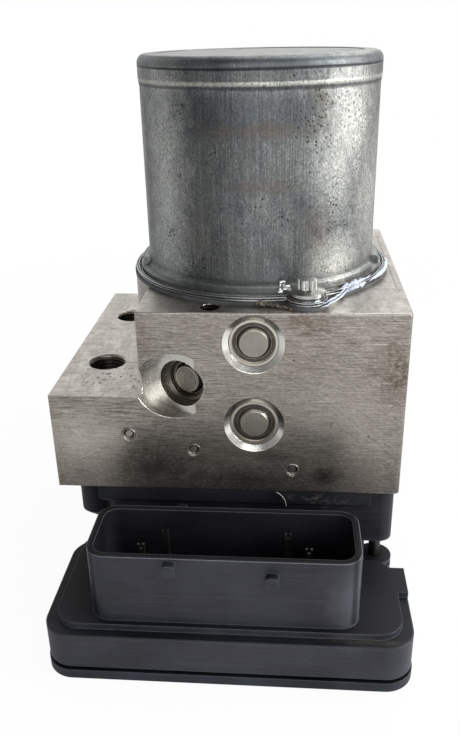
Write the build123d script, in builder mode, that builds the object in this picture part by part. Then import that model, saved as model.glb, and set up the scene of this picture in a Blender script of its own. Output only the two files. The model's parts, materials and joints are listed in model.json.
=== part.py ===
"""Brake pressure modulator: pump motor on a ported valve block, control unit underneath.

Millimetres, +Z up. The origin is under the middle of the unit, on the face it rests on.
-Y is the connector side, -X the side with the pipe ports.
"""
import os
from math import cos, radians, sin, tan

from build123d import *

os.makedirs("parts", exist_ok=True)

# ------------------------------------------------------------------ driving sizes

# Valve block: an aluminium extrusion with a low step on the port side
block_width = 112.0
block_depth = 100.0
block_height = 61.65
step_width = 29.8
step_height = 33.35
block_edge = 0.35
block_corner = 1.6
bulge_radius = 43.6

# Pipe ports and mounting threads
master_port_radius = 6.0
master_port_depth = 13.0
master_port_inset = 13.2
master_port_spacing = 46.0
master_port_mouth = 0.65
wheel_port_radius = 5.0
wheel_port_depth = 11.0
wheel_port_spacing = 24.0
wheel_port_count = 4
port_drill_radius = 1.7
port_drill_depth = 6.0
drill_tip_angle = 118.0
mount_thread_radius = 3.0
mount_thread_depth = 12.0
mount_thread_across = 13.3
mount_thread_inset = 4.8

# Control unit housing and its cover
cover_height = 5.1
tray_side = 11.7
tray_reach = 1.3
tray_offset = 4.1
tray_overhang = 45.0
tray_back = 8.6
tray_corner = 8.5
rear_tray_corner = 5.5
tray_wall = 2.2
tray_edge = 0.3
clip_length = 11.5
clip_width = 6.4
clip_setback = 3.2
plate_rise = 2.0
plate_inset = 3.2
plate_corner = 7.5
left_bay_width = 56.0
left_bay_lap = 1.0
bay_lap = 18.9
rear_bay_lap = 12.0
tower_gap = 0.5
tower_height = 19.7
tower_left = 15.2
tower_inset = 0.9
tower_front = 1.2
tower_back = 3.0
tower_wall = 2.2
tower_floor = 2.0
tower_corner = 4.4
tower_inner_corner = 2.4
lip_height = 7.6
lip_left = 12.9
lip_inset = 9.0
lip_proud = 0.9
lip_taper = 2.5
rear_tray_left = 13.0
rear_tray_inset = 11.0
cover_proud = 0.3
cover_edge = 0.8
cover_seam = 1.2
cover_seam_depth = 1.3
cover_pocket = 1.9
board_thickness = 1.6
board_gap = 2.0
board_inset = 1.6
ledge_inset = 3.0

# Connector shroud
shroud_width = 79.4
shroud_left = 18.1
shroud_front = 5.0
shroud_depth = 25.5
shroud_height = 23.0
shroud_wall = 2.0
shroud_corner = 6.0
peg_side = 3.7
peg_round = 1.2
peg_length = 2.6
peg_left_inset = 25.0
peg_left_drop = 2.6
peg_right_inset = 54.1
peg_right_drop = 5.6
rail_width = 1.6
rail_depth = 1.7
rail_drop = 6.3
rail_place = 19.5

# Mounting posts and ears of the control unit
post_radius = 5.0
post_edge = 1.6
post_web_width = 5.0
post_web_drop = 2.5
ear_radius = 5.8
ear_height = 10.2
ear_groove = 1.0
ear_groove_depth = 1.6
ear_web_width = 6.0
ear_web_lap = 1.5
left_post_inset = (9.1, 10.6)
right_post_inset = (6.0, 6.5)
foot_drop = 1.0
foot_radius = 4.3
post_length = 16.1
spigot_length = 1.8
spigot_radius = 1.4
ear_rim = 1.4
screw_radius = 1.95
screw_head_radius = 3.6
screw_head_height = 2.4
screw_socket_radius = 1.9
screw_socket_depth = 1.2
screw_grip = 9.0

# Pump motor
motor_inset = 65.3
can_radius = 38.45
can_wall = 2.0
can_height = 67.4
can_edge = 2.6
can_top_recess_radius = 33.0
can_top_recess = 0.25
band_width = 4.7
band_taper = 2.0
band_proud = 0.35
can_foot_radius = 41.5
can_foot_edge = 0.6
can_foot_flare = 2.4
collar_radius = 40.9
collar_height = 3.3
collar_round = 1.2
collar_arcs = ((-124.0, -79.0), (-62.0, -24.0), (-12.0, 40.0), (56.0, 104.0), (120.0, 150.0), (162.0, 196.0))
flange_radius = 43.4
flange_thickness = 1.3
flange_bore = 30.0
flange_groove_width = 0.9
flange_groove_depth = 0.8
flange_relief = 0.3
flange_relief_depth = 0.6
bolt_pad_radius = 5.2
bolt_pad_height = 1.1
gasket_radius = 43.8
gasket_thickness = 1.1
gasket_bore = 33.0
bolt_circle = 44.9
bolt_angle = -69.4
bolt_radius = 2.45
bolt_length = 15.0
bolt_flange_radius = 5.6
bolt_flange_height = 0.9
bolt_cone_height = 0.9
bolt_head_radius = 3.1
bolt_head_height = 2.8
bolt_lobes = 6
bolt_lobe_radius = 0.75
ear_web_radius = 6.3

# Motor internals
magnet_thickness = 5.8
magnet_overlap = 3.0
magnet_arc = 118.0
air_gap = 0.9
winding_gap = 2.1
running_gap = 0.5
slot_count = 12
slot_width = 3.2
slot_depth = 11.0
winding_overhang = 5.0
winding_inner_radius = 11.5
commutator_radius = 10.5
commutator_height = 6.5
brush_width = 6.0
brush_height = 5.0
brush_length = 9.0
brush_plate_thickness = 1.9
brush_holder_wall = 1.4
shaft_radius = 4.0
top_bearing_radius = 8.0
top_bearing_height = 6.0
block_bearing_height = 6.5
tail_bearing_radius = 8.0
tail_bearing_height = 6.0
lead_radius = 2.4
lead_inset = 17.0

# Pump: three planes of two radial pistons round one eccentric shaft
pump_upper_drop = 10.2
pump_middle_drop = 24.4
pump_lower_drop = 37.5
pump_tilt = 25.7
chamber_radius = 12.5
eccentricity = 1.0
eccentric_radius = 6.0
ring_radius = 9.0
ring_height = 6.0
ring_gap = 1.0
eccentric_phases = (90.0, 210.0, 330.0)
piston_radius = 3.25
piston_length = 21.0
pump_spring_length = 7.0
pump_spring_radius = 3.0
pump_spring_wall = 0.7
sleeve_radius = 6.0
sleeve_start = 20.0
plug_radius = 7.65
plug_seat = 40.0
plug_recess = 0.7
plug_flat_radius = 4.25
plug_boss_radius = 5.3
plug_groove_radius = 6.85
plug_rim_edge = 0.15
plug_rim_drop = 0.5
plug_groove = 1.4
mouth_radius = 9.5
mouth_depth = 1.2
spot_radius = 11.0
spot_floor = 2.5
spot_shift = 0.8

# Low-pressure accumulators on the hidden side face
accumulator_radius = 10.4
accumulator_height = 33.0
accumulator_spacing = 48.0
accumulator_cap = 4.0
accumulator_recess = 0.8
accumulator_dish_radius = 8.4
accumulator_dish = 1.3
accumulator_piston = 8.0
accumulator_pocket = 4.0
accumulator_spring = 11.0
accumulator_spring_radius = 8.5
accumulator_spring_wall = 1.2

# Solenoid valves and their coils
valve_pitch = 21.0
valve_left_inset = 27.0
valve_right_inset = 20.0
valve_row_count = 4
valve_body_radius = 4.95
valve_body_length = 12.5
valve_tube_radius = 4.0
valve_tube_length = 15.5
valve_tube_dome = 1.5
coil_radius = 8.8
coil_bore = 4.2
coil_height = 16.5
coil_flange = 1.5
sensor_left_inset = 69.0
sensor_front_inset = 18.0
sensor_radius = 5.2
sensor_length = 14.0
sensor_seat = 7.0

# Staked ball plugs that close the cross drillings
ball_radius = 1.6
ball_seat_radius = 2.3
ball_seat_depth = 0.6
ball_depth = 2.4
ball_sink = 0.3
ball_crown = 0.5
ball_places = ((25.1, 20.05), (45.9, 14.85), (77.4, 8.15))

# Contacts in the connector
blade_width = 2.2
blade_thickness = 0.8
blade_height = 16.0
blade_fork = 0.8
blade_fork_depth = 1.6
blade_places = ((14.3, 13.0), (20.6, 20.0), (58.4, 20.0), (64.6, 13.0))
pin_side = 0.64
pin_height = 6.5
pin_pitch = 3.2
pin_columns = 8
pin_rows = 3
pin_row_pitch = 3.4

# Clearances
fit = 0.05
slip = 0.03
piston_gap = 0.1
loose = 0.2

# ------------------------------------------------------------------ places worked out from them

block_left = -(block_width + tray_reach + cover_proud) / 2
block_right = block_left + block_width
block_front = tray_overhang + cover_proud - (tray_overhang + cover_proud + block_depth) / 2
block_back = block_front + block_depth
block_middle = (block_front + block_back) / 2
tray_top = cover_height + tray_side
plate_top = tray_top + plate_rise
tower_base = plate_top + tower_gap
block_bottom = tower_base + tower_height
block_top = block_bottom + block_height
step_top = block_bottom + step_height
step_right = block_left + step_width
tray_left = block_left + tray_offset
tray_right = block_right + tray_reach
tray_front = block_front - tray_overhang
motor_x = block_left + motor_inset
motor_y = block_middle
flange_bottom = block_top + gasket_thickness
flange_top = flange_bottom + flange_thickness
can_top = flange_top + can_height
can_inner = can_radius - can_wall
axis_to_face = block_depth / 2


def circle_point(radius, angle):
    """A point round the motor axis."""
    return (motor_x + radius * cos(radians(angle)), motor_y + radius * sin(radians(angle)))


def rounded(left, front, right, back, corner):
    """A rounded rectangle between its sides, in the sketch that is open."""
    with Locations(((left + right) / 2, (front + back) / 2)):
        RectangleRounded(right - left, back - front, corner)


def plain(left, front, right, back):
    """A rectangle between its sides, in the sketch that is open."""
    with Locations(((left + right) / 2, (front + back) / 2)):
        Rectangle(right - left, back - front)


def finish(builder, name, shade):
    """Label a finished piece, give it a colour and write its file."""
    builder.part.label = name
    builder.part.color = Color(*shade)
    export_step(builder.part, f"parts/{name}.step")


steel = (0.55, 0.57, 0.58)
bright = (0.75, 0.76, 0.77)
alloy = (0.62, 0.60, 0.57)
copper = (0.72, 0.42, 0.25)
black = (0.10, 0.10, 0.11)
green = (0.10, 0.35, 0.20)
grey = (0.35, 0.36, 0.37)

bolts = [circle_point(bolt_circle, bolt_angle), circle_point(bolt_circle, bolt_angle + 180)]
lead_point = (motor_x + lead_inset, motor_y)

# Pump elements: name, side along Y, tilt towards the ports, height
pump_elements = []
for level, height, tilt in (
    ("upper", block_top - pump_upper_drop, 0.0),
    ("middle", block_top - pump_middle_drop, pump_tilt),
    ("lower", block_top - pump_lower_drop, 0.0),
):
    for side_name, side in (("front", -1), ("rear", 1)):
        pump_elements.append((f"{side_name}_{level}", side, tilt, height))


def pump_direction(side, tilt):
    """Outward direction of a pump bore."""
    return Vector(-sin(radians(tilt)), side * cos(radians(tilt)), 0)


def pump_axis(side, tilt, height):
    """The centre line of a pump bore."""
    return Axis((motor_x, motor_y, height), pump_direction(side, tilt))


def pump_section(side, tilt, height):
    """Half-section plane of a pump bore: X is the radius, Y the distance from the motor axis."""
    direction = pump_direction(side, tilt)
    return Plane(origin=(motor_x, motor_y, height), x_dir=(0, 0, 1), z_dir=Vector(0, 0, 1).cross(direction))


def pump_cut(side, tilt, height, distance):
    """Plane across a pump bore at a distance from the motor axis, facing outwards."""
    direction = pump_direction(side, tilt)
    origin = Vector(motor_x, motor_y, height) + direction * distance
    return Plane(origin=origin, x_dir=(0, 0, 1), z_dir=direction)


def half_round(points, plane, axis):
    """Turn a half-section into the part that is open."""
    with BuildSketch(plane) as section:
        with BuildLine():
            Polyline(*points, close=True)
        make_face()
    revolve(section.sketch, axis=axis)


accumulator_bore = (
    accumulator_recess + accumulator_cap + accumulator_spring + accumulator_piston
)
accumulator_ys = (block_middle - accumulator_spacing / 2, block_middle + accumulator_spacing / 2)
valve_columns = (
    block_left + valve_left_inset,
    block_left + valve_left_inset + valve_pitch,
    block_right - valve_right_inset,
)
valve_rows = [block_middle + valve_pitch * (row - (valve_row_count - 1) / 2) for row in range(valve_row_count)]
valve_points = [(column, y) for column in valve_columns for y in valve_rows]
sensor_point = (block_left + sensor_left_inset, block_front + sensor_front_inset)
wheel_port_ys = [
    block_middle + wheel_port_spacing * (place - (wheel_port_count - 1) / 2) for place in range(wheel_port_count)
]
master_port_ys = (block_middle - master_port_spacing / 2, block_middle + master_port_spacing / 2)
mount_threads = [
    (motor_x - mount_thread_across, block_front + mount_thread_inset),
    (motor_x + mount_thread_across, block_back - mount_thread_inset),
]
left_posts = [
    (block_left + left_post_inset[0], block_front + left_post_inset[1]),
    (block_left + left_post_inset[0], block_back - left_post_inset[1]),
]
right_posts = [
    (block_right - right_post_inset[0], block_front + right_post_inset[1]),
    (block_right - right_post_inset[0], block_back - right_post_inset[1]),
]
# The front left ear holds no screw
screw_points = [left_posts[1], right_posts[0], right_posts[1]]
pump_levels = tuple(block_top - drop for drop in (pump_upper_drop, pump_middle_drop, pump_lower_drop))
chamber_floor = pump_levels[-1] - ring_height / 2 - ring_gap - tail_bearing_height
ball_faces = ((block_front, 1), (block_back, -1))


# ------------------------------------------------------------------ valve block


def block_body():
    """The stepped extrusion with the round boss under the motor, its long edges broken."""
    with BuildSketch(Plane.XY.offset(block_bottom)) as base:
        plain(block_left, block_front, block_right, block_back)
    extrude(base.sketch, amount=step_height)
    with BuildSketch(Plane.XY.offset(step_top)) as upper:
        plain(step_right, block_front, block_right, block_back)
        with Locations((motor_x, motor_y)):
            Circle(bulge_radius)
        with Locations((block_right, motor_y)):
            Rectangle(2 * bulge_radius, block_depth, align=(Align.MIN, Align.CENTER), mode=Mode.SUBTRACT)
    extrude(upper.sketch, amount=block_height - step_height)


def threaded_port(plane, radius, depth, mouth):
    """A threaded port at a plane whose normal points out of it: thread bore, mouth cone, seat, drilling."""
    seat = (radius - port_drill_radius) / tan(radians(drill_tip_angle / 2))
    with BuildSketch(Plane(origin=plane.origin, x_dir=plane.z_dir, z_dir=plane.x_dir)) as section:
        with BuildLine():
            Polyline(
                (mouth, 0),
                (mouth, radius + mouth * 2),
                (0, radius + mouth),
                (-mouth, radius),
                (-depth, radius),
                (-depth - seat, port_drill_radius),
                (-depth - seat - port_drill_depth, port_drill_radius),
                (-depth - seat - port_drill_depth, 0),
                close=True,
            )
        make_face()
    revolve(section.sketch, axis=Axis(plane.origin, plane.z_dir), mode=Mode.SUBTRACT)


with BuildPart() as valve_block:
    block_body()
    upright = valve_block.edges().filter_by(Axis.Z).group_by(Axis.X)[-1]
    fillet(upright, radius=block_corner)
    chamfer(valve_block.faces().sort_by(Axis.Z)[-1].outer_wire().edges(), length=block_edge)

    # Shaft chamber, its bearing seats and the passage of the motor lead
    with BuildSketch(Plane.XY.offset(block_top)):
        with Locations((motor_x, motor_y)):
            Circle(chamber_radius)
    extrude(amount=-(block_top - chamber_floor - tail_bearing_height), mode=Mode.SUBTRACT)
    with BuildSketch(Plane.XY.offset(chamber_floor)):
        with Locations((motor_x, motor_y)):
            Circle(tail_bearing_radius)
    extrude(amount=tail_bearing_height, mode=Mode.SUBTRACT)
    with BuildSketch(Plane.XY.offset(block_bottom)):
        with Locations(lead_point):
            Circle(lead_radius + loose)
    extrude(amount=block_height, mode=Mode.SUBTRACT)

    # Pump bores
    for name, side, tilt, height in pump_elements:
        reach = axis_to_face / cos(radians(tilt))
        with BuildSketch(pump_cut(side, tilt, height, 0)):
            Circle(sleeve_radius + fit)
        extrude(amount=plug_seat, mode=Mode.SUBTRACT)
        with BuildSketch(pump_cut(side, tilt, height, plug_seat)):
            Circle(plug_radius + fit)
        extrude(amount=reach - plug_seat + spot_radius, mode=Mode.SUBTRACT)
        if tilt:
            with BuildSketch(pump_cut(side, tilt, height, reach - spot_floor)):
                with Locations((0, -side * spot_shift)):
                    Circle(spot_radius)
            extrude(amount=spot_floor + spot_radius, mode=Mode.SUBTRACT)
        else:
            mouth_cone = (
                (0, reach - mouth_depth),
                (plug_radius + fit, reach - mouth_depth),
                (mouth_radius, reach),
                (mouth_radius, reach + mouth_depth),
                (0, reach + mouth_depth),
            )
            with BuildSketch(pump_section(side, tilt, height)):
                with BuildLine():
                    Polyline(*mouth_cone, close=True)
                make_face()
            revolve(axis=pump_axis(side, tilt, height), mode=Mode.SUBTRACT)

    # Accumulator bores
    for y in accumulator_ys:
        with BuildSketch(Plane.YZ.offset(block_right)):
            with Locations((y, block_bottom + accumulator_height)):
                Circle(accumulator_radius + fit)
        extrude(amount=-accumulator_bore, mode=Mode.SUBTRACT)

    # Valve and sensor bores in the underside
    with BuildSketch(Plane.XY.offset(block_bottom)):
        with Locations(*valve_points):
            Circle(valve_body_radius + fit)
    extrude(amount=valve_body_length, mode=Mode.SUBTRACT)
    with BuildSketch(Plane.XY.offset(block_bottom)):
        with Locations(sensor_point):
            Circle(sensor_radius + fit)
    extrude(amount=sensor_seat, mode=Mode.SUBTRACT)
    with BuildSketch(Plane.XY.offset(block_bottom)):
        with Locations(*screw_points):
            Circle(screw_radius + fit)
    extrude(amount=screw_grip + loose, mode=Mode.SUBTRACT)

    # Motor bolt holes
    with BuildSketch(Plane.XY.offset(block_top)):
        with Locations(*bolts):
            Circle(bolt_radius + fit)
    extrude(amount=-bolt_length, mode=Mode.SUBTRACT)

    # Pipe ports and mounting threads
    for y in master_port_ys:
        port = Plane(origin=(block_left + master_port_inset, y, step_top), x_dir=(1, 0, 0), z_dir=(0, 0, 1))
        threaded_port(port, master_port_radius, master_port_depth, master_port_mouth)
    for y in wheel_port_ys:
        port = Plane(origin=(block_left, y, block_bottom + step_height / 2), x_dir=(0, 1, 0), z_dir=(-1, 0, 0))
        threaded_port(port, wheel_port_radius, wheel_port_depth, master_port_mouth)
    with BuildSketch(Plane.XY.offset(block_top)):
        with Locations(*mount_threads):
            Circle(mount_thread_radius)
    extrude(amount=-mount_thread_depth, mode=Mode.SUBTRACT)

    # Drillings closed by staked balls
    for face_y, inward in ball_faces:
        for across, up in ball_places:
            seat = Plane(
                origin=(block_left + across, face_y, block_bottom + up), x_dir=(1, 0, 0), z_dir=(0, inward, 0)
            )
            with BuildSketch(seat):
                Circle(ball_seat_radius)
            extrude(amount=ball_seat_depth, mode=Mode.SUBTRACT)
            with BuildSketch(seat):
                Circle(ball_radius + fit)
            extrude(amount=ball_depth, mode=Mode.SUBTRACT)
finish(valve_block, "valve_block", alloy)

with BuildPart() as ball_plugs:
    for face_y, inward in ball_faces:
        for across, up in ball_places:
            seat = Plane(
                origin=(block_left + across, face_y + inward * ball_sink, block_bottom + up),
                x_dir=(1, 0, 0),
                z_dir=(0, inward, 0),
            )
            with BuildSketch(seat):
                Circle(ball_radius)
            extrude(amount=ball_depth - ball_sink)
            crown = ball_plugs.edges().filter_by(GeomType.CIRCLE).filter_by_position(
                Axis.Y, seat.origin.Y - fit, seat.origin.Y + fit
            )
            chamfer(crown.sort_by_distance(seat.origin)[0], length=ball_crown)
finish(ball_plugs, "ball_plugs", bright)

# ------------------------------------------------------------------ pump elements

piston_start = ring_radius + eccentricity + piston_gap
piston_end = piston_start + piston_length
spring_end = piston_end + pump_spring_length
plug_face = axis_to_face - plug_recess
plug_rim = plug_face - plug_rim_drop
plug_moat = plug_face - plug_groove

for name, side, tilt, height in pump_elements:
    axis = pump_axis(side, tilt, height)
    section_plane = pump_section(side, tilt, height)
    with BuildPart() as pump_plug:
        half_round(
            (
                (piston_radius + slip, sleeve_start),
                (sleeve_radius, sleeve_start),
                (sleeve_radius, plug_seat),
                (plug_radius, plug_seat),
                (plug_radius, plug_rim - plug_rim_edge),
                (plug_radius - plug_rim_edge, plug_rim),
                (plug_groove_radius, plug_rim),
                (plug_groove_radius, plug_moat),
                (plug_boss_radius, plug_moat),
                (plug_flat_radius, plug_face),
                (0, plug_face),
                (0, spring_end),
                (piston_radius + slip, spring_end),
            ),
            section_plane,
            axis,
        )
    finish(pump_plug, f"pump_plug_{name}", bright)
    with BuildPart() as pump_piston:
        with BuildSketch(pump_cut(side, tilt, height, piston_start)):
            Circle(piston_radius)
        extrude(amount=piston_length)
    finish(pump_piston, f"pump_piston_{name}", steel)
    with BuildPart() as pump_spring:
        with BuildSketch(pump_cut(side, tilt, height, piston_end)):
            Circle(pump_spring_radius)
            Circle(pump_spring_radius - pump_spring_wall, mode=Mode.SUBTRACT)
        extrude(amount=pump_spring_length)
    finish(pump_spring, f"pump_spring_{name}", steel)

# ------------------------------------------------------------------ accumulators

for place, y in zip(("front", "rear"), accumulator_ys):
    cap_out = block_right - accumulator_recess
    cap_in = cap_out - accumulator_cap
    spring_in = cap_in - accumulator_spring
    with BuildPart() as accumulator_cap_part:
        with BuildSketch(Plane.YZ.offset(cap_in)):
            with Locations((y, block_bottom + accumulator_height)):
                Circle(accumulator_radius)
        extrude(amount=accumulator_cap)
        with BuildSketch(Plane.YZ.offset(cap_out)):
            with Locations((y, block_bottom + accumulator_height)):
                Circle(accumulator_dish_radius)
        extrude(amount=-accumulator_dish, mode=Mode.SUBTRACT)
    finish(accumulator_cap_part, f"accumulator_cap_{place}", bright)
    with BuildPart() as accumulator_piston_part:
        with BuildSketch(Plane.YZ.offset(spring_in)):
            with Locations((y, block_bottom + accumulator_height)):
                Circle(accumulator_radius - slip)
        extrude(amount=-accumulator_piston)
        with BuildSketch(Plane.YZ.offset(spring_in)):
            with Locations((y, block_bottom + accumulator_height)):
                Circle(accumulator_spring_radius + loose)
        extrude(amount=-accumulator_pocket, mode=Mode.SUBTRACT)
    finish(accumulator_piston_part, f"accumulator_piston_{place}", steel)
    with BuildPart() as accumulator_spring_part:
        with BuildSketch(Plane.YZ.offset(spring_in - accumulator_pocket)):
            with Locations((y, block_bottom + accumulator_height)):
                Circle(accumulator_spring_radius)
                Circle(accumulator_spring_radius - accumulator_spring_wall, mode=Mode.SUBTRACT)
        extrude(amount=accumulator_spring + accumulator_pocket)
    finish(accumulator_spring_part, f"accumulator_spring_{place}", steel)

# ------------------------------------------------------------------ valves, sensor and coils

valve_kinds = {
    "inlet_valves": valve_points[:valve_row_count],
    "outlet_valves": valve_points[valve_row_count : 2 * valve_row_count],
    "isolation_valves": (valve_points[2 * valve_row_count], valve_points[-1]),
    "suction_valves": valve_points[2 * valve_row_count + 1 : -1],
}
for kind, places in valve_kinds.items():
    with BuildPart() as valves:
        with BuildSketch(Plane.XY.offset(block_bottom)):
            with Locations(*places):
                Circle(valve_body_radius)
        extrude(amount=valve_body_length)
        with BuildSketch(Plane.XY.offset(block_bottom)):
            with Locations(*places):
                Circle(valve_tube_radius)
        extrude(amount=-valve_tube_length)
        tips = valves.edges().filter_by(GeomType.CIRCLE).group_by(Axis.Z)[0]
        chamfer(tips, length=valve_tube_dome)
    finish(valves, kind, bright)

with BuildPart() as pressure_sensor:
    with BuildSketch(Plane.XY.offset(block_bottom + sensor_seat)):
        with Locations(sensor_point):
            Circle(sensor_radius)
    extrude(amount=-sensor_length)
finish(pressure_sensor, "pressure_sensor", bright)

coil_base = tower_base + tower_floor
with BuildPart() as valve_coils:
    with BuildSketch(Plane.XY.offset(coil_base)):
        with Locations(*valve_points):
            Circle(coil_radius)
    extrude(amount=coil_height)
    with BuildSketch(Plane.XY.offset(coil_base + coil_flange)):
        with Locations(*valve_points):
            Circle(coil_radius)
            Circle(coil_radius - coil_flange, mode=Mode.SUBTRACT)
    extrude(amount=coil_height - 2 * coil_flange, mode=Mode.SUBTRACT)
    with BuildSketch(Plane.XY.offset(coil_base)):
        with Locations(*valve_points):
            Circle(coil_bore)
    extrude(amount=coil_height, mode=Mode.SUBTRACT)
finish(valve_coils, "valve_coils", copper)

# ------------------------------------------------------------------ control unit

tray_rear_edge = block_front - tray_back
left_bay_right = block_left + left_bay_width
left_bay_back = block_front + left_bay_lap
left_bay_front = tray_rear_edge - bay_lap
tray_bays = (
    (tray_left, tray_front, tray_right, tray_rear_edge, tray_corner),
    (tray_left, left_bay_front, left_bay_right, left_bay_back, tray_corner),
    (
        block_left + rear_tray_left,
        block_front - rear_bay_lap,
        block_right - rear_tray_inset,
        block_back - tower_back,
        rear_tray_corner,
    ),
)


def drawn_in(bay, inset):
    """One bay of the tray, drawn in from its outer walls, in the sketch that is open."""
    left, front, right, back, corner = bay
    rounded(left + inset, front + inset, right - inset, back - inset, corner - inset)


def tray_outline(inset):
    """All bays of the tray, drawn in from the outer walls."""
    for bay in tray_bays:
        drawn_in(bay, inset)


shroud_x0 = block_left + shroud_left
shroud_x1 = shroud_x0 + shroud_width
shroud_y0 = tray_front + shroud_front
shroud_y1 = shroud_y0 + shroud_depth
shroud_top = plate_top + shroud_height
shroud_floor = plate_top + shroud_wall
rail_y = shroud_y0 + rail_place
clip_back = tray_rear_edge - clip_setback
blade_points = [(shroud_x0 + across, shroud_y0 + along) for across, along in blade_places]
pin_points = [
    (
        (shroud_x0 + shroud_x1) / 2 + pin_pitch * (column - (pin_columns - 1) / 2),
        (shroud_y0 + shroud_y1) / 2 + pin_row_pitch * (row - (pin_rows - 1) / 2),
    )
    for column in range(pin_columns)
    for row in range(pin_rows)
]
board_top = cover_height + board_gap + board_thickness
tray_roof = tray_top - tray_wall / 2
rear_tray_roof = tower_base - tray_wall / 2
tower_front_y = block_front + tower_front
tower_back_y = block_back - tower_back
post_bottom = block_bottom - post_length
pegs = (
    (shroud_x0 + peg_left_inset, shroud_top - peg_left_drop),
    (shroud_x0 + peg_right_inset, shroud_top - peg_right_drop),
)

with BuildPart() as ecu_housing:
    # Tray walls and the raised plate round the connector
    with BuildSketch(Plane.XY.offset(cover_height)):
        for bay in tray_bays[:2]:
            rounded(*bay)
    extrude(amount=tray_side)
    chamfer(ecu_housing.faces().sort_by(Axis.Z)[-1].outer_wire().edges(), length=tray_edge)
    with BuildSketch(Plane.XY.offset(cover_height)):
        rounded(*tray_bays[2])
    extrude(amount=tower_base - cover_height)
    with BuildSketch(Plane.XY.offset(tray_top)):
        rounded(
            tray_left + plate_inset,
            tray_front + plate_inset,
            tray_right - plate_inset,
            tray_rear_edge,
            plate_corner,
        )
        rounded(
            tray_left + plate_inset,
            left_bay_front,
            left_bay_right,
            left_bay_back,
            plate_corner,
        )
    extrude(amount=plate_rise)
    with BuildSketch(Plane.XY.offset(tray_top - tray_edge)):
        plain(tray_right - clip_width, clip_back - clip_length, tray_right, clip_back)
    extrude(amount=plate_rise + tray_edge)

    # Tower under the block with its lip and front corner
    with BuildSketch(Plane.XY.offset(tower_base)):
        rounded(block_left + tower_left, tower_front_y, block_right - tower_inset, tower_back_y, tower_corner)
    extrude(amount=tower_height)
    with BuildSketch(Plane.XY.offset(tower_base - foot_drop)):
        with Locations(*right_posts):
            Circle(foot_radius)
    extrude(amount=foot_drop)
    with BuildSketch(Plane.XY.offset(block_bottom - lip_height + lip_taper)) as lip:
        plain(block_left + lip_left, tower_front_y - lip_proud, block_right - lip_inset, tower_back_y)
    extrude(amount=lip_height - lip_taper)
    extrude(lip.sketch, amount=-lip_taper, taper=45)

    # Posts on the port side, the front one ending in a short spigot
    with BuildSketch(Plane.XY.offset(post_bottom)):
        with Locations(*left_posts):
            Circle(post_radius)
    extrude(amount=post_length)
    chamfer(
        ecu_housing.edges().filter_by(GeomType.CIRCLE).filter_by_position(Axis.Z, post_bottom, post_bottom),
        length=post_edge,
    )
    with BuildSketch(Plane.XY.offset(post_bottom + post_web_drop)):
        for x, y in left_posts:
            plain(x, y - post_web_width / 2, block_left + tower_left + tower_wall / 2, y + post_web_width / 2)
    extrude(amount=post_length - post_web_drop)
    with BuildSketch(Plane.XY.offset(post_bottom - spigot_length)):
        with Locations(left_posts[0]):
            Circle(spigot_radius)
    extrude(amount=spigot_length)

    # Grooved ears for the long screws
    with BuildSketch(Plane.XY.offset(cover_height)):
        with Locations(*screw_points):
            Circle(ear_radius)
        for x, y in left_posts[1:]:
            plain(x, y - ear_web_width / 2, block_left + rear_tray_left + ear_web_lap, y + ear_web_width / 2)
        for x, y in right_posts:
            plain(block_right - rear_tray_inset - ear_web_lap, y - ear_web_width / 2, x, y + ear_web_width / 2)
    extrude(amount=ear_height - cover_height)
    with BuildSketch(Plane.XY.offset(ear_height - ear_rim - ear_groove)):
        with Locations(*screw_points):
            Circle(ear_radius)
            Circle(ear_radius - ear_groove_depth, mode=Mode.SUBTRACT)
    extrude(amount=ear_groove, mode=Mode.SUBTRACT)

    # Connector shroud with its cam pegs and guide rails
    with BuildSketch(Plane.XY.offset(plate_top)):
        rounded(shroud_x0, shroud_y0, shroud_x1, shroud_y1, shroud_corner)
    extrude(amount=shroud_height)
    for peg_x, peg_z in pegs:
        with BuildSketch(Plane.XZ.offset(peg_length - shroud_y0)):
            with Locations((peg_x, peg_z)):
                RectangleRounded(peg_side, peg_side, peg_round)
        extrude(amount=-(shroud_depth + 2 * peg_length))
    with BuildSketch(Plane.XY.offset(plate_top)):
        plain(shroud_x0 - rail_depth, rail_y - rail_width / 2, shroud_x1 + rail_depth, rail_y + rail_width / 2)
    extrude(amount=shroud_height - rail_drop)
    with BuildSketch(Plane.XY.offset(shroud_floor)):
        rounded(
            shroud_x0 + shroud_wall,
            shroud_y0 + shroud_wall,
            shroud_x1 - shroud_wall,
            shroud_y1 - shroud_wall,
            shroud_corner - shroud_wall,
        )
    extrude(amount=shroud_height, mode=Mode.SUBTRACT)
    with BuildSketch(Plane.XY.offset(tray_roof)):
        with Locations(*blade_points):
            Rectangle(blade_width + 2 * slip, blade_thickness + 2 * slip)
        with Locations(*pin_points):
            Rectangle(pin_side + 2 * slip, pin_side + 2 * slip)
    extrude(amount=shroud_floor - tray_roof, mode=Mode.SUBTRACT)

    # Room for the circuit board, with the ledge it sits against
    with BuildSketch(Plane.XY.offset(cover_height)) as recess:
        tray_outline(board_inset)
    extrude(amount=board_top - cover_height, mode=Mode.SUBTRACT)
    with BuildSketch(Plane.XY.offset(board_top)):
        for bay in tray_bays[:2]:
            drawn_in(bay, ledge_inset)
    extrude(amount=tray_roof - board_top, mode=Mode.SUBTRACT)
    with BuildSketch(Plane.XY.offset(board_top)):
        drawn_in(tray_bays[2], ledge_inset)
    extrude(amount=rear_tray_roof - board_top, mode=Mode.SUBTRACT)

    # Room for the coils
    with BuildSketch(Plane.XY.offset(coil_base)):
        rounded(
            block_left + tower_left + tower_wall,
            tower_front_y + tower_wall,
            block_right - tower_inset - tower_wall,
            tower_back_y - tower_wall,
            tower_inner_corner,
        )
        with Locations(*right_posts):
            Circle(post_radius, mode=Mode.SUBTRACT)
    extrude(amount=tower_height, mode=Mode.SUBTRACT)

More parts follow.
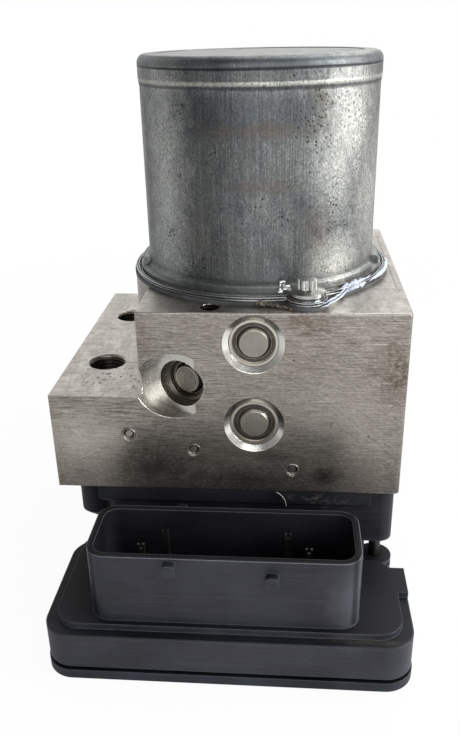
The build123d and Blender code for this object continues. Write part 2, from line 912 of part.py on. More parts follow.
    # Passages of the long screws and of the motor lead
    with BuildSketch(Plane.XY.offset(cover_height)):
        with Locations(*screw_points):
            Circle(screw_radius + loose)
        with Locations(lead_point):
            Circle(lead_radius + loose)
    extrude(amount=block_bottom - cover_height, mode=Mode.SUBTRACT)
finish(ecu_housing, "ecu_housing", black)

with BuildPart() as ecu_cover:
    with BuildSketch(Plane.XY):
        tray_outline(-cover_proud)
    extrude(amount=cover_height - cover_seam)
    chamfer(ecu_cover.faces().sort_by(Axis.Z)[0].outer_wire().edges(), length=cover_edge)
    with BuildSketch(Plane.XY.offset(cover_height - cover_seam)):
        tray_outline(cover_seam_depth)
    extrude(amount=cover_seam)
    with BuildSketch(Plane.XY.offset(cover_height)):
        tray_outline(ledge_inset)
    extrude(amount=-cover_pocket, mode=Mode.SUBTRACT)
finish(ecu_cover, "ecu_cover", black)

with BuildPart() as ecu_circuit_board:
    with BuildSketch(Plane.XY.offset(board_top - board_thickness)):
        tray_outline(board_inset + loose)
    extrude(amount=board_thickness)
finish(ecu_circuit_board, "ecu_circuit_board", green)

with BuildPart() as power_blades:
    with BuildSketch(Plane.XY.offset(board_top)):
        with Locations(*blade_points):
            Rectangle(blade_width, blade_thickness)
    extrude(amount=shroud_floor + blade_height - board_top)
    with BuildSketch(Plane.XY.offset(shroud_floor + blade_height)):
        with Locations(*blade_points):
            Rectangle(blade_fork, blade_thickness)
    extrude(amount=-blade_fork_depth, mode=Mode.SUBTRACT)
finish(power_blades, "power_blades", bright)

with BuildPart() as signal_pins:
    with BuildSketch(Plane.XY.offset(board_top)):
        with Locations(*pin_points):
            Rectangle(pin_side, pin_side)
    extrude(amount=shroud_floor + pin_height - board_top)
finish(signal_pins, "signal_pins", bright)

with BuildPart() as ecu_screws:
    with BuildSketch(Plane.XY.offset(cover_height)):
        with Locations(*screw_points):
            Circle(screw_radius)
    extrude(amount=block_bottom + screw_grip - cover_height)
    with BuildSketch(Plane.XY.offset(cover_height)):
        with Locations(*screw_points):
            Circle(screw_head_radius)
    extrude(amount=-screw_head_height)
    with BuildSketch(Plane.XY.offset(cover_height - screw_head_height)):
        with Locations(*screw_points):
            RegularPolygon(screw_socket_radius, 6)
    extrude(amount=screw_socket_depth, mode=Mode.SUBTRACT)
finish(ecu_screws, "ecu_screws", steel)

# ------------------------------------------------------------------ motor shell


def motor_section(angle):
    """Half-section plane of the motor at an angle: X is the radius, Y the height."""
    across = Vector(cos(radians(angle)), sin(radians(angle)), 0)
    return Plane(origin=(motor_x, motor_y, 0), x_dir=across, z_dir=across.cross(Vector(0, 0, 1)))


motor_axis = Axis((motor_x, motor_y, 0), (0, 0, 1))


def arc_piece(inner, outer, low, high, start, end, shoulder=0):
    """Sweep a rectangle of radii and heights round the motor axis between two angles."""
    with BuildSketch(motor_section(start)) as section:
        with Locations(((inner + outer) / 2, (low + high) / 2)):
            Rectangle(outer - inner, high - low)
        if shoulder:
            top_corners = section.vertices().group_by(Axis.Z)[-1]
            fillet(top_corners.sort_by_distance((motor_x, motor_y, high))[-1], radius=shoulder)
    revolve(section.sketch, axis=motor_axis, revolution_arc=end - start)


can_ceiling = can_top - can_wall
hub_bottom = can_ceiling - top_bearing_height
cap_radius = can_radius + band_proud
cap_bottom = can_top - can_edge - band_width
collar_top = flange_top + collar_height

with BuildPart() as motor_can:
    half_round(
        (
            (can_inner, flange_top),
            (can_foot_radius, flange_top),
            (can_foot_radius, flange_top + can_foot_edge),
            (can_radius, flange_top + can_foot_edge),
            (can_radius, cap_bottom - band_taper),
            (cap_radius, cap_bottom),
            (cap_radius, can_top),
            (can_top_recess_radius, can_top),
            (can_top_recess_radius - can_top_recess, can_top - can_top_recess),
            (0, can_top - can_top_recess),
            (0, can_ceiling),
            (top_bearing_radius + fit, can_ceiling),
            (top_bearing_radius + fit, hub_bottom),
            (top_bearing_radius + can_wall, hub_bottom),
            (top_bearing_radius + can_wall, can_ceiling),
            (can_inner, can_ceiling),
        ),
        motor_section(0),
        motor_axis,
    )
    shoulder = motor_can.edges().filter_by(GeomType.CIRCLE).filter_by_position(Axis.Z, can_top, can_top)
    fillet(shoulder.sort_by(SortBy.RADIUS)[-1], radius=can_edge)
    foot = motor_can.edges().filter_by(GeomType.CIRCLE).filter_by_position(
        Axis.Z, flange_top + can_foot_edge, flange_top + can_foot_edge
    )
    fillet(foot.sort_by(SortBy.RADIUS)[0], radius=can_foot_flare)
    for start, end in collar_arcs:
        arc_piece(can_radius - fit, collar_radius, flange_top, collar_top, start, end, collar_round)
finish(motor_can, "motor_can", grey)


def eared_disc(radius, ear, bore):
    """Round plate with two bolt ears, in the sketch that is open."""
    with Locations((motor_x, motor_y)):
        Circle(radius)
    with Locations(*bolts):
        Circle(ear)
    with Locations((motor_x, motor_y)):
        Circle(bore, mode=Mode.SUBTRACT)
    with Locations(*bolts):
        Circle(bolt_radius + loose, mode=Mode.SUBTRACT)


with BuildPart() as motor_flange:
    with BuildSketch(Plane.XY.offset(flange_bottom + flange_relief)):
        eared_disc(flange_radius, ear_web_radius, flange_bore)
    extrude(amount=flange_thickness - flange_relief)
    with BuildSketch(Plane.XY.offset(flange_bottom)):
        eared_disc(flange_radius - flange_relief_depth, ear_web_radius - flange_relief_depth, flange_bore)
    extrude(amount=flange_relief)
    with BuildSketch(Plane.XY.offset(flange_top)):
        with Locations((motor_x, motor_y)):
            Circle(can_foot_radius + flange_groove_width)
            Circle(can_foot_radius, mode=Mode.SUBTRACT)
    extrude(amount=-flange_groove_depth, mode=Mode.SUBTRACT)
    with BuildSketch(Plane.XY.offset(flange_top - flange_groove_depth)):
        with Locations(*bolts):
            Circle(bolt_pad_radius)
        with Locations((motor_x, motor_y)):
            Circle(can_foot_radius + loose, mode=Mode.SUBTRACT)
        with Locations(*bolts):
            Circle(bolt_radius + loose, mode=Mode.SUBTRACT)
    extrude(amount=bolt_pad_height + flange_groove_depth)
finish(motor_flange, "motor_flange", steel)

with BuildPart() as motor_gasket:
    with BuildSketch(Plane.XY.offset(block_top)):
        eared_disc(gasket_radius, ear_web_radius + gasket_radius - flange_radius, gasket_bore)
    extrude(amount=gasket_thickness)
finish(motor_gasket, "motor_gasket", grey)

bolt_seat = flange_top + bolt_pad_height
with BuildPart() as motor_bolts:
    with BuildSketch(Plane.XY.offset(bolt_seat)):
        with Locations(*bolts):
            Circle(bolt_radius)
    extrude(amount=-(bolt_seat - flange_top + bolt_length - fit))
    with BuildSketch(Plane.XY.offset(bolt_seat)):
        with Locations(*bolts):
            Circle(bolt_flange_radius)
    extrude(amount=bolt_flange_height)
    for bolt_x, bolt_y in bolts:
        with Locations((bolt_x, bolt_y, bolt_seat + bolt_flange_height + bolt_cone_height / 2)):
            Cone(bolt_flange_radius, bolt_head_radius, bolt_cone_height)
    with BuildSketch(Plane.XY.offset(bolt_seat + bolt_flange_height + bolt_cone_height)):
        with Locations(*bolts):
            Circle(bolt_head_radius - bolt_lobe_radius)
            with PolarLocations(bolt_head_radius - bolt_lobe_radius, bolt_lobes):
                Circle(bolt_lobe_radius)
    extrude(amount=bolt_head_height)
finish(motor_bolts, "motor_bolts", bright)

# ------------------------------------------------------------------ motor internals

plate_face = flange_top + brush_plate_thickness
commutator_base = plate_face + running_gap
winding_base = commutator_base + commutator_height + running_gap
core_base = winding_base + winding_overhang
core_top = hub_bottom - winding_gap - winding_overhang
core_radius = can_inner - fit - magnet_thickness - air_gap
magnet_base = core_base - magnet_overlap
magnet_top = core_top + magnet_overlap

for magnet_side, middle in (("front", -90.0), ("rear", 90.0)):
    with BuildPart() as magnet:
        arc_piece(
            can_inner - fit - magnet_thickness,
            can_inner - fit,
            magnet_base,
            magnet_top,
            middle - magnet_arc / 2,
            middle + magnet_arc / 2,
        )
    finish(magnet, f"motor_magnet_{magnet_side}", grey)


def at_motor(height):
    """Level plane whose origin is on the motor axis."""
    return Plane(origin=(motor_x, motor_y, height), x_dir=(1, 0, 0), z_dir=(0, 0, 1))


slot_reach = slot_depth + air_gap
with BuildPart() as armature_core:
    with BuildSketch(at_motor(core_base)):
        Circle(core_radius)
        Circle(shaft_radius + slip, mode=Mode.SUBTRACT)
        with PolarLocations(core_radius - slot_depth + slot_reach / 2, slot_count):
            Rectangle(slot_reach, slot_width, mode=Mode.SUBTRACT)
    extrude(amount=core_top - core_base)
finish(armature_core, "armature_core", steel)

winding_outer = core_radius - loose - air_gap
with BuildPart() as armature_winding:
    with BuildSketch(at_motor(winding_base)):
        Circle(winding_outer)
        Circle(winding_inner_radius, mode=Mode.SUBTRACT)
    extrude(amount=winding_overhang)
    with BuildSketch(at_motor(core_top)):
        Circle(winding_outer)
        Circle(winding_inner_radius, mode=Mode.SUBTRACT)
    extrude(amount=winding_overhang)
    bar_inner = core_radius - slot_depth + loose
    with BuildSketch(at_motor(core_base)):
        with PolarLocations((bar_inner + winding_outer - loose) / 2, slot_count):
            Rectangle(winding_outer - loose - bar_inner, slot_width - loose)
    extrude(amount=core_top - core_base)
finish(armature_winding, "armature_winding", copper)

with BuildPart() as commutator:
    with BuildSketch(at_motor(commutator_base)):
        Circle(commutator_radius)
        Circle(shaft_radius + slip, mode=Mode.SUBTRACT)
    extrude(amount=commutator_height)
finish(commutator, "commutator", copper)

holder_start = commutator_radius + running_gap
with BuildPart() as brush_plate:
    with BuildSketch(at_motor(flange_top)):
        Circle(can_inner - fit)
        Circle(commutator_radius + brush_holder_wall, mode=Mode.SUBTRACT)
    extrude(amount=brush_plate_thickness)
    for facing in (-1, 1):
        centre = facing * (holder_start + brush_holder_wall + brush_length / 2)
        with BuildSketch(at_motor(plate_face)):
            with Locations((centre + facing * brush_holder_wall, 0)):
                Rectangle(brush_length, brush_width + 2 * brush_holder_wall)
                Rectangle(brush_length, brush_width + 2 * slip, mode=Mode.SUBTRACT)
            with Locations((centre + facing * (brush_length / 2 + brush_holder_wall / 2 + loose), 0)):
                Rectangle(brush_holder_wall, brush_width + 2 * brush_holder_wall)
        extrude(amount=brush_height + running_gap)
finish(brush_plate, "brush_plate", black)

for brush_side, facing in (("port", -1), ("far", 1)):
    with BuildPart() as brush:
        with BuildSketch(at_motor(plate_face)):
            with Locations((facing * (commutator_radius + piston_gap + brush_length / 2), 0)):
                Rectangle(brush_length, brush_width)
        extrude(amount=brush_height)
    finish(brush, f"motor_brush_{brush_side}", grey)

shaft_foot = chamber_floor + loose
shaft_top = can_ceiling - loose
with BuildPart() as pump_shaft:
    with BuildSketch(at_motor(shaft_foot)):
        Circle(shaft_radius)
    extrude(amount=shaft_top - shaft_foot)
    for height, phase in zip(pump_levels, eccentric_phases):
        offset_x = eccentricity * cos(radians(phase))
        offset_y = eccentricity * sin(radians(phase))
        with BuildSketch(at_motor(height - ring_height / 2)):
            with Locations((offset_x, offset_y)):
                Circle(eccentric_radius)
        extrude(amount=ring_height)
finish(pump_shaft, "pump_shaft", steel)

for level, height, phase in zip(("upper", "middle", "lower"), pump_levels, eccentric_phases):
    with BuildPart() as eccentric_bearing:
        with BuildSketch(at_motor(height - ring_height / 2)):
            with Locations((eccentricity * cos(radians(phase)), eccentricity * sin(radians(phase)))):
                Circle(ring_radius)
                Circle(eccentric_radius + slip, mode=Mode.SUBTRACT)
        extrude(amount=ring_height)
    finish(eccentric_bearing, f"eccentric_bearing_{level}", bright)

for bearing_name, outer, low, thick in (
    ("bearing_top", top_bearing_radius, hub_bottom, top_bearing_height),
    ("bearing_block", chamber_radius - fit, block_top - block_bearing_height, block_bearing_height),
    ("bearing_tail", tail_bearing_radius - fit, chamber_floor, tail_bearing_height),
):
    with BuildPart() as bearing:
        with BuildSketch(at_motor(low)):
            Circle(outer)
            Circle(shaft_radius + fit, mode=Mode.SUBTRACT)
        extrude(amount=thick)
    finish(bearing, bearing_name, bright)

with BuildPart() as motor_lead:
    with BuildSketch(Plane.XY.offset(board_top)):
        with Locations(lead_point):
            Circle(lead_radius)
    extrude(amount=flange_top - board_top)
finish(motor_lead, "motor_lead", copper)
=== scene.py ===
"""Looks of the brake pressure modulator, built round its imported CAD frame.

Laid out as an add-on and run as a script. Millimetres are turned to metres by MM.
"""
import json
from math import atan2, cos, degrees, pi, radians, sin

import bmesh
import bpy
from mathutils import Matrix, Vector, noise as grain_noise


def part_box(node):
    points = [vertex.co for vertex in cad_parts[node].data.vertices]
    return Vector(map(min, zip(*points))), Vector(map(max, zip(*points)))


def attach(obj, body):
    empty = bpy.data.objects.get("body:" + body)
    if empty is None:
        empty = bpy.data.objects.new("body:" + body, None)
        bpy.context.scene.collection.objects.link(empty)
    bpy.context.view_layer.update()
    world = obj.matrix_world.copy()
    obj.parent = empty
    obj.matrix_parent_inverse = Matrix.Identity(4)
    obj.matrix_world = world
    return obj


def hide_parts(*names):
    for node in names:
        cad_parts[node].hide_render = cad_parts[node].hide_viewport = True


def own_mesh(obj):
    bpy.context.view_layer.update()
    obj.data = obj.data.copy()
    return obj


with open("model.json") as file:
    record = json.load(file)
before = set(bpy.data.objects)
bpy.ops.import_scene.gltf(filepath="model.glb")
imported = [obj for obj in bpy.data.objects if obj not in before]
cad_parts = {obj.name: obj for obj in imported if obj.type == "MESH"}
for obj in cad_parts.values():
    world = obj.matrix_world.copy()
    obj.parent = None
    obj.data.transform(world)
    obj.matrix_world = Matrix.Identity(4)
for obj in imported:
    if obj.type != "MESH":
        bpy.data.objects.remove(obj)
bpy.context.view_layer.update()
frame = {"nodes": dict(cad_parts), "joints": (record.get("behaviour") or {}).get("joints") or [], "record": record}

bl_info = {
    "name": "Brake modulator looks",
    "version": (1, 1, 0),
    "blender": (4, 5, 0),
    "location": "View3D > Sidebar > Modulator",
    "description": "Finishes, threads, sealant and stage for the brake pressure modulator",
    "category": "Object",
}

MM = 0.001
nodes = frame["nodes"]


def span_of(node):
    """Box of a CAD node in millimetres: low corner and high corner."""
    low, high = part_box(node)
    return Vector(low) / MM, Vector(high) / MM


can_low, can_high = span_of("motor_can")
block_low, block_high = span_of("valve_block")
flange_low, flange_high = span_of("motor_flange")
house_low = span_of("ecu_housing")[0]
motor_x = (can_low.x + can_high.x) / 2
motor_y = (can_low.y + can_high.y) / 2
step_top = block_high.z - 28.3
mounts = {mount["name"]: mount for mount in frame["record"]["mounts"]}


def place_of(mount):
    """Place of a mount in millimetres."""
    return Vector(mounts[mount]["pos_m"]) / MM


# ------------------------------------------------------------------ sizes and colours


def linear(hex_colour):
    """An sRGB hex colour as linear RGBA."""
    channels = [int(hex_colour[i : i + 2], 16) / 255 for i in (0, 2, 4)]
    return (*[c / 12.92 if c <= 0.04045 else ((c + 0.055) / 1.055) ** 2.4 for c in channels], 1.0)


class ModulatorSizes(bpy.types.PropertyGroup):
    """Sizes that a user may change, in metres."""

    thread_depth: bpy.props.FloatProperty(
        name="Thread depth",
        description="Height of the thread ridge inside each port",
        default=0.55 * MM,
        min=0.0,
        unit="LENGTH",
    )
    sealant_width: bpy.props.FloatProperty(
        name="Sealant width",
        description="Thickness of the sealant squeezed out under the motor",
        default=1.1 * MM,
        min=0.0,
        unit="LENGTH",
    )
    fibre_width: bpy.props.FloatProperty(
        name="Fibre width",
        description="Thickness of the loose fibre on the control unit",
        default=0.22 * MM,
        min=0.0,
        unit="LENGTH",
    )


class ModulatorColours(bpy.types.PropertyGroup):
    """Colours that a user may change."""

    block: bpy.props.FloatVectorProperty(
        name="Block",
        description="Machined aluminium of the valve block",
        default=linear("a09a93"),
        size=4,
        min=0.0,
        max=1.0,
        subtype="COLOR",
    )
    can: bpy.props.FloatVectorProperty(
        name="Can",
        description="Zinc-plated steel of the motor can",
        default=linear("717473"),
        size=4,
        min=0.0,
        max=1.0,
        subtype="COLOR",
    )
    housing: bpy.props.FloatVectorProperty(
        name="Housing",
        description="Nylon of the control unit housing",
        default=linear("1f2026"),
        size=4,
        min=0.0,
        max=1.0,
        subtype="COLOR",
    )
    cover: bpy.props.FloatVectorProperty(
        name="Cover",
        description="Polyester of the control unit cover",
        default=linear("13161b"),
        size=4,
        min=0.0,
        max=1.0,
        subtype="COLOR",
    )
    sealant: bpy.props.FloatVectorProperty(
        name="Sealant",
        description="Silicone sealant under the motor",
        default=linear("b6bac4"),
        size=4,
        min=0.0,
        max=1.0,
        subtype="COLOR",
    )


# ------------------------------------------------------------------ nodes and patterns


def per(size_mm):
    """Texture scale for a feature of a size in millimetres."""
    return 1 / (size_mm * MM)


def add(tree, kind, *inputs, out=0, **settings):
    """Add a node with its settings and links, and return one of its outputs.

    Inputs come in order as values, hex colours or links, and None leaves one alone. A keyword
    sets a property of the node, or fills the input of that name if it starts with a capital.
    """
    made = tree.nodes.new("ShaderNode" + kind)
    feeds = dict(enumerate(inputs))
    for key, value in settings.items():
        if key[0].isupper():
            feeds[key.replace("_", " ")] = value
        else:
            setattr(made, key, value)
    for key, value in feeds.items():
        if isinstance(value, bpy.types.NodeSocket):
            tree.links.new(value, made.inputs[key])
        elif value is not None:
            made.inputs[key].default_value = linear(value) if isinstance(value, str) else value
    return made.outputs[out]


def join(tree, operation, *values):
    """Several values combined one after another by one operation."""
    total = values[0]
    for value in values[1:]:
        total = add(tree, "Math", total, value, operation=operation)
    return total


def layered(tree, base, *layers):
    """Colours laid over a base in order; each layer is its colour and the masks that bound it."""
    tone = base
    for colour, *masks in layers:
        share = join(tree, "MULTIPLY", *masks)
        tone = add(tree, "Mix", share, *[None] * 5, tone, colour, out=2, data_type="RGBA")
    return tone


def shader(name, metallic, roughness, **more):
    """A new material with its principled shader; returns material, tree and shader."""
    material = bpy.data.materials.new(name)
    material.use_nodes = True
    tree = material.node_tree
    surface = tree.nodes["Principled BSDF"]
    surface.inputs["Metallic"].default_value = metallic
    surface.inputs["Roughness"].default_value = roughness
    for key, value in more.items():
        surface.inputs[key.replace("_", " ")].default_value = value
    return material, tree, surface


def placed(tree, scale=(1, 1, 1), turn=(0, 0, 0), start=(0, 0, 0)):
    """Object coordinates moved, turned and scaled; start is in millimetres."""
    place = add(tree, "TexCoord", out="Object")
    moved = add(tree, "VectorMath", place, Vector(start) * MM, operation="SUBTRACT")
    return add(tree, "Mapping", moved, None, turn, scale)


def smudge(tree, centre, radii, edge=0.6, ragged=0.35, ragged_mm=4.0):
    """A stain round a point: 1 in the middle and 0 at the radii, ragged; in millimetres."""
    near = placed(tree, tuple(per(radius) for radius in radii), start=centre)
    far = add(tree, "VectorMath", near, out="Value", operation="LENGTH")
    torn = add(tree, "TexNoise", placed(tree), Scale=per(ragged_mm), Detail=4.0, Roughness=0.6)
    far = join(tree, "ADD", far, add(tree, "MapRange", torn, 0.25, 0.75, -ragged, ragged))
    return add(tree, "MapRange", far, edge, 1.0, 1.0, 0.0)


def stains(tree, *spots):
    """The strongest of several smudges; each spot is its strength and what smudge needs."""
    masks = []
    for strength, *spot in spots:
        mask = smudge(tree, *spot)
        masks.append(mask if strength == 1 else join(tree, "MULTIPLY", mask, strength))
    return join(tree, "MAXIMUM", *masks)


def scribed(tree, along, at, width, start, end):
    """A straight line along X or Y; at, width, start and end are in millimetres."""
    parts = add(tree, "SeparateXYZ", placed(tree)).node.outputs
    across, down = (parts["Y"], parts["X"]) if along == "X" else (parts["X"], parts["Y"])
    off = add(tree, "Math", join(tree, "SUBTRACT", across, at * MM), operation="ABSOLUTE")
    line = add(tree, "MapRange", off, width * 0.4 * MM, width * MM, 1.0, 0.0)
    middle, length = (start + end) / 2 * MM, (end - start) * MM
    reach = add(tree, "Math", join(tree, "SUBTRACT", down, middle), operation="ABSOLUTE")
    ends = add(tree, "MapRange", reach, length * 0.48, length * 0.5, 1.0, 0.0)
    return join(tree, "MULTIPLY", line, ends)


def above(tree, axis, low, high):
    """0 below one level and 1 over another along an axis, in millimetres."""
    level = add(tree, "SeparateXYZ", placed(tree), out=axis)
    return add(tree, "MapRange", level, low * MM, high * MM)


def below(tree, axis, low, high):
    """1 below one level and 0 over another along an axis, in millimetres."""
    return join(tree, "SUBTRACT", 1.0, above(tree, axis, low, high))


def hoop(tree, height, low, high):
    """1 on a level line round the can at a height, fading between two widths; in millimetres."""
    level = add(tree, "SeparateXYZ", placed(tree), out="Z")
    off = add(tree, "Math", join(tree, "SUBTRACT", level, height * MM), operation="ABSOLUTE")
    return add(tree, "MapRange", off, low * MM, high * MM, 1.0, 0.0)


def round_motor(tree):
    """Distance from the axis of the motor."""
    flat = placed(tree, (1, 1, 0), start=(motor_x, motor_y, 0))
    return add(tree, "VectorMath", flat, out="Value", operation="LENGTH")


def off_axis(tree, centre, axis):
    """Distance from a line through a point in millimetres."""
    near = add(tree, "VectorMath", placed(tree, start=centre), axis, operation="CROSS_PRODUCT")
    return add(tree, "VectorMath", near, out="Value", operation="LENGTH")


def facing(tree, axis, low=0.6, high=0.8):
    """1 where the surface faces along an axis, either way."""
    part = add(tree, "SeparateXYZ", add(tree, "NewGeometry", out="Normal"), out=axis)
    return add(tree, "MapRange", add(tree, "Math", part, operation="ABSOLUTE"), low, high)


def edges(tree, width_mm, low=0.9, high=0.985):
    """1 on the edges of a form, 0 on its faces, where wear and a painted highlight are laid."""
    eased = add(tree, "Bevel", width_mm * MM, samples=6)
    true = add(tree, "NewGeometry", out="Normal")
    along = add(tree, "VectorMath", eased, true, out="Value", operation="DOT_PRODUCT")
    return add(tree, "MapRange", along, low, high, 1.0, 0.0)


def relief(tree, surface, height, depth_mm, strength=1.0, eased_mm=0.0):
    """Fine relief on a shader, over edges that are eased by a small radius."""
    eased = add(tree, "Bevel", eased_mm * MM, samples=6) if eased_mm else None
    raised = add(
        tree, "Bump", Strength=strength, Distance=depth_mm * MM, Height=height, Normal=eased
    )
    tree.links.new(raised, surface.inputs["Normal"])


# ------------------------------------------------------------------ pieces


def finish_node(name, material):
    """Give a CAD node its material."""
    data = nodes[name].data
    data.materials.clear()
    data.materials.append(material)


def settle(bm, name, material, smooth=True):
    """Turn a bmesh in millimetres into a piece that rides on the unit."""
    bmesh.ops.remove_doubles(bm, verts=bm.verts, dist=0.001)
    bmesh.ops.recalc_face_normals(bm, faces=bm.faces)
    bmesh.ops.scale(bm, vec=(MM, MM, MM), verts=bm.verts)
    data = bpy.data.meshes.new(name)
    bm.to_mesh(data)
    bm.free()
    if smooth:
        data.shade_smooth()
    data.materials.append(material)
    piece = bpy.data.objects.new(name, data)
    bpy.context.scene.collection.objects.link(piece)
    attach(piece, "unit")
    return piece


def round_section(radius, height, size, sides=8):
    """A bmesh with a small upright circle at a radius from the Z axis."""
    bm = bmesh.new()
    bmesh.ops.create_circle(bm, segments=sides, radius=size)
    upright = Matrix.Rotation(pi / 2, 4, "X") @ Matrix.Rotation(-pi / 2, 4, "Z")
    place = Matrix.Translation((radius, 0, height)) @ upright
    bmesh.ops.transform(bm, matrix=place, verts=bm.verts)
    return bm


def swept(bm, angle, steps, rise=0.0, closed=False):
    """Sweep the ring in a bmesh round the Z axis."""
    ring = list(bm.edges)
    made = bmesh.ops.spin(
        bm,
        geom=[*bm.verts, *ring],
        cent=(0, 0, 0),
        axis=(0, 0, 1),
        dvec=(0, 0, rise / steps),
        angle=angle,
        steps=steps,
        use_merge=closed,
    )
    if not closed:
        last = [item for item in made["geom_last"] if isinstance(item, bmesh.types.BMVert)]
        bmesh.ops.contextual_create(bm, geom=ring)
        far_end = [edge for edge in bm.edges if edge.is_boundary and edge.verts[0] in last]
        bmesh.ops.contextual_create(bm, geom=far_end)
    return bm


def gather(bm, part, matrix):
    """Move a small bmesh to its place and add it to a larger one."""
    bmesh.ops.transform(part, matrix=matrix, verts=part.verts)
    carried = bpy.data.meshes.new("carried")
    part.to_mesh(carried)
    part.free()
    bm.from_mesh(carried)
    bpy.data.meshes.remove(carried)


def roughened(bm, size_mm, amount, upright=1.0):
    """Push each vertex a little by a smooth random amount, in millimetres."""
    # Without a seed of its own the noise starts from the clock and differs in each run
    grain_noise.seed_set(1)
    for vertex in bm.verts:
        push = grain_noise.noise_vector(vertex.co / size_mm)
        vertex.co += Vector((push.x, push.y, push.z * upright)) * amount


# ------------------------------------------------------------------ materials


def milled_aluminium(colour):
    """Extruded aluminium, fly-cut on its faces.

    The cutter leaves long, fine parallel lines that stretch reflections. They are drawn coarser
    than the real feed marks, so that they show. A painted shade darkens the lower part and the
    corners, painted light brightens the top faces, the cones round the plugs and a patch on the
    front, the edges carry wear and a painted highlight, and steam and salt have pitted the step.
    """
    material, tree, surface = shader("extruded_aluminium_milled", 1.0, 0.36)
    flat = facing(tree, "Z")
    free = placed(tree)
    side_lines = add(
        tree,
        "TexNoise",
        placed(tree, (0.025, 0.025, 1.0), (0, radians(-3.0), 0)),
        Scale=per(0.22),
        Detail=4.0,
        Roughness=0.8,
    )
    sweep = add(
        tree,
        "VectorMath",
        placed(tree, (1, 0, 1), start=(-70, 0, -60)),
        out="Value",
        operation="LENGTH",
    )
    arcs = add(
        tree, "TexNoise", add(tree, "CombineXYZ", sweep), Scale=per(0.5), Detail=4.0, Roughness=0.8
    )
    side_lines = join(
        tree, "ADD", join(tree, "MULTIPLY", side_lines, 0.65), join(tree, "MULTIPLY", arcs, 0.35)
    )
    slanted = add(
        tree,
        "TexNoise",
        placed(tree, (0.03, 0.03, 1.0), (0, radians(14), 0)),
        Scale=per(0.26),
        Detail=4.0,
        Roughness=0.8,
    )
    scratch = add(
        tree,
        "TexNoise",
        placed(tree, (0.03, 0.03, 1.0), (0, radians(-4.0), 0)),
        Scale=per(0.3),
        Detail=2.0,
        Roughness=0.5,
    )
    leftward = smudge(tree, (-34, block_low.y, 72), (46, 30, 40), 0.3, 0.3, 12)
    side_lines = add(tree, "Mix", leftward, None, side_lines, slanted)
    side_wide = add(
        tree,
        "TexNoise",
        placed(tree, (0.05, 0.05, 1.0), (0, radians(1.5), 0)),
        Scale=per(1.6),
        Detail=4.0,
        Roughness=0.7,
    )
    top_lines = add(
        tree, "TexNoise", placed(tree, (0.03, 1.0, 0.03)), Scale=per(0.5), Detail=4.0, Roughness=0.7
    )
    lines = add(tree, "Mix", flat, None, side_lines, top_lines)
    cloud = add(tree, "TexNoise", free, Scale=per(16), Detail=6.0, Roughness=0.66, Distortion=0.4)
    speck = add(tree, "TexNoise", free, Scale=per(1.3), Detail=4.0, Roughness=0.75)
    side = join(tree, "SUBTRACT", 1.0, flat)
    # Painted light: a paler glow on the front face
    lit_patches = join(
        tree, "MULTIPLY", side, smudge(tree, (34, block_low.y, 66), (26, 30, 17), 0.0, 0.3, 14)
    )
    paler = join(
        tree, "MULTIPLY", side, smudge(tree, (-46, block_low.y, 54), (18, 30, 18), 0.0, 0.3, 10)
    )
    # Painted highlight on the cones and counterbores round the plugs
    cone_highlights = []
    for name in nodes:
        if name.startswith("pump_plug"):
            low, high = span_of(name)
            middle = (low + high) / 2
            axis = Vector((middle.x - motor_x, middle.y - motor_y, 0)).normalized()
            radius = off_axis(tree, middle, axis)
            outer = 11.6 if "middle" in name else 9.7
            sideways = add(
                tree,
                "VectorMath",
                add(tree, "NewGeometry", out="Normal"),
                (0, -1, 0) if axis.y < 0 else (0, 1, 0),
                out="Value",
                operation="DOT_PRODUCT",
            )
            cut = add(tree, "MapRange", sideways, 0.985, 0.995, 1.0, 0.0)
            outward = add(
                tree,
                "VectorMath",
                placed(tree, start=(motor_x, motor_y, 0)),
                axis,
                out="Value",
                operation="DOT_PRODUCT",
            )
            own = add(tree, "MapRange", outward, 20 * MM, 22 * MM)
            bright = 0.62 if "middle" in name else 1.0
            cone_highlights.append(
                join(
                    tree,
                    "MULTIPLY",
                    add(tree, "MapRange", radius, outer * MM, (outer + 0.1) * MM, 1.0, 0.0),
                    cut,
                    own,
                    bright,
                )
            )
    cone_highlight = join(tree, "MULTIPLY", join(tree, "MAXIMUM", *cone_highlights), side)
    # Painted shade at the foot of the front and rear faces
    foot = join(tree, "MULTIPLY", side, below(tree, "Z", 41, 58))
    front = block_low.y
    thumbs = stains(
        tree,
        (1, (31, front, 44.6), (7.5, 6, 4.2), 0.1),
        (0.8, (-24, front, 47.5), (19, 6, 10), 0.0),
        (0.8, (4, front, 43.0), (30, 6, 7.0), 0.0),
        (0.5, (14, front, 52), (9, 6, 3.0), 0.1),
    )
    browned = stains(
        tree,
        (1, (54, front, 82), (12, 8, 13), 0.1, 0.5),
        (0.9, (25, front, 98), (10, 5, 5), 0.1, 0.5),
        (0.5, (-28, front, 85), (10, 5, 16), 0.1, 0.5),
    )
    # Oil and dust that crept out from under the motor flange
    ring = round_motor(tree)
    crept = join(
        tree,
        "MULTIPLY",
        flat,
        add(tree, "MapRange", ring, 43.6 * MM, 46.5 * MM, 1.0, 0.0),
        above(tree, "Z", 95, 96),
    )
    # Pale skid marks on the step, and the pits in it
    pale = join(
        tree,
        "MULTIPLY",
        flat,
        add(
            tree,
            "MapRange",
            add(
                tree,
                "TexNoise",
                placed(tree, (1, 0.4, 1)),
                Scale=per(4.5),
                Detail=6.0,
                Roughness=0.75,
            ),
            0.46,
            0.64,
        ),
    )
    # Edge wear with a painted highlight along the edges
    wear_and_highlight = edges(tree, 0.5)
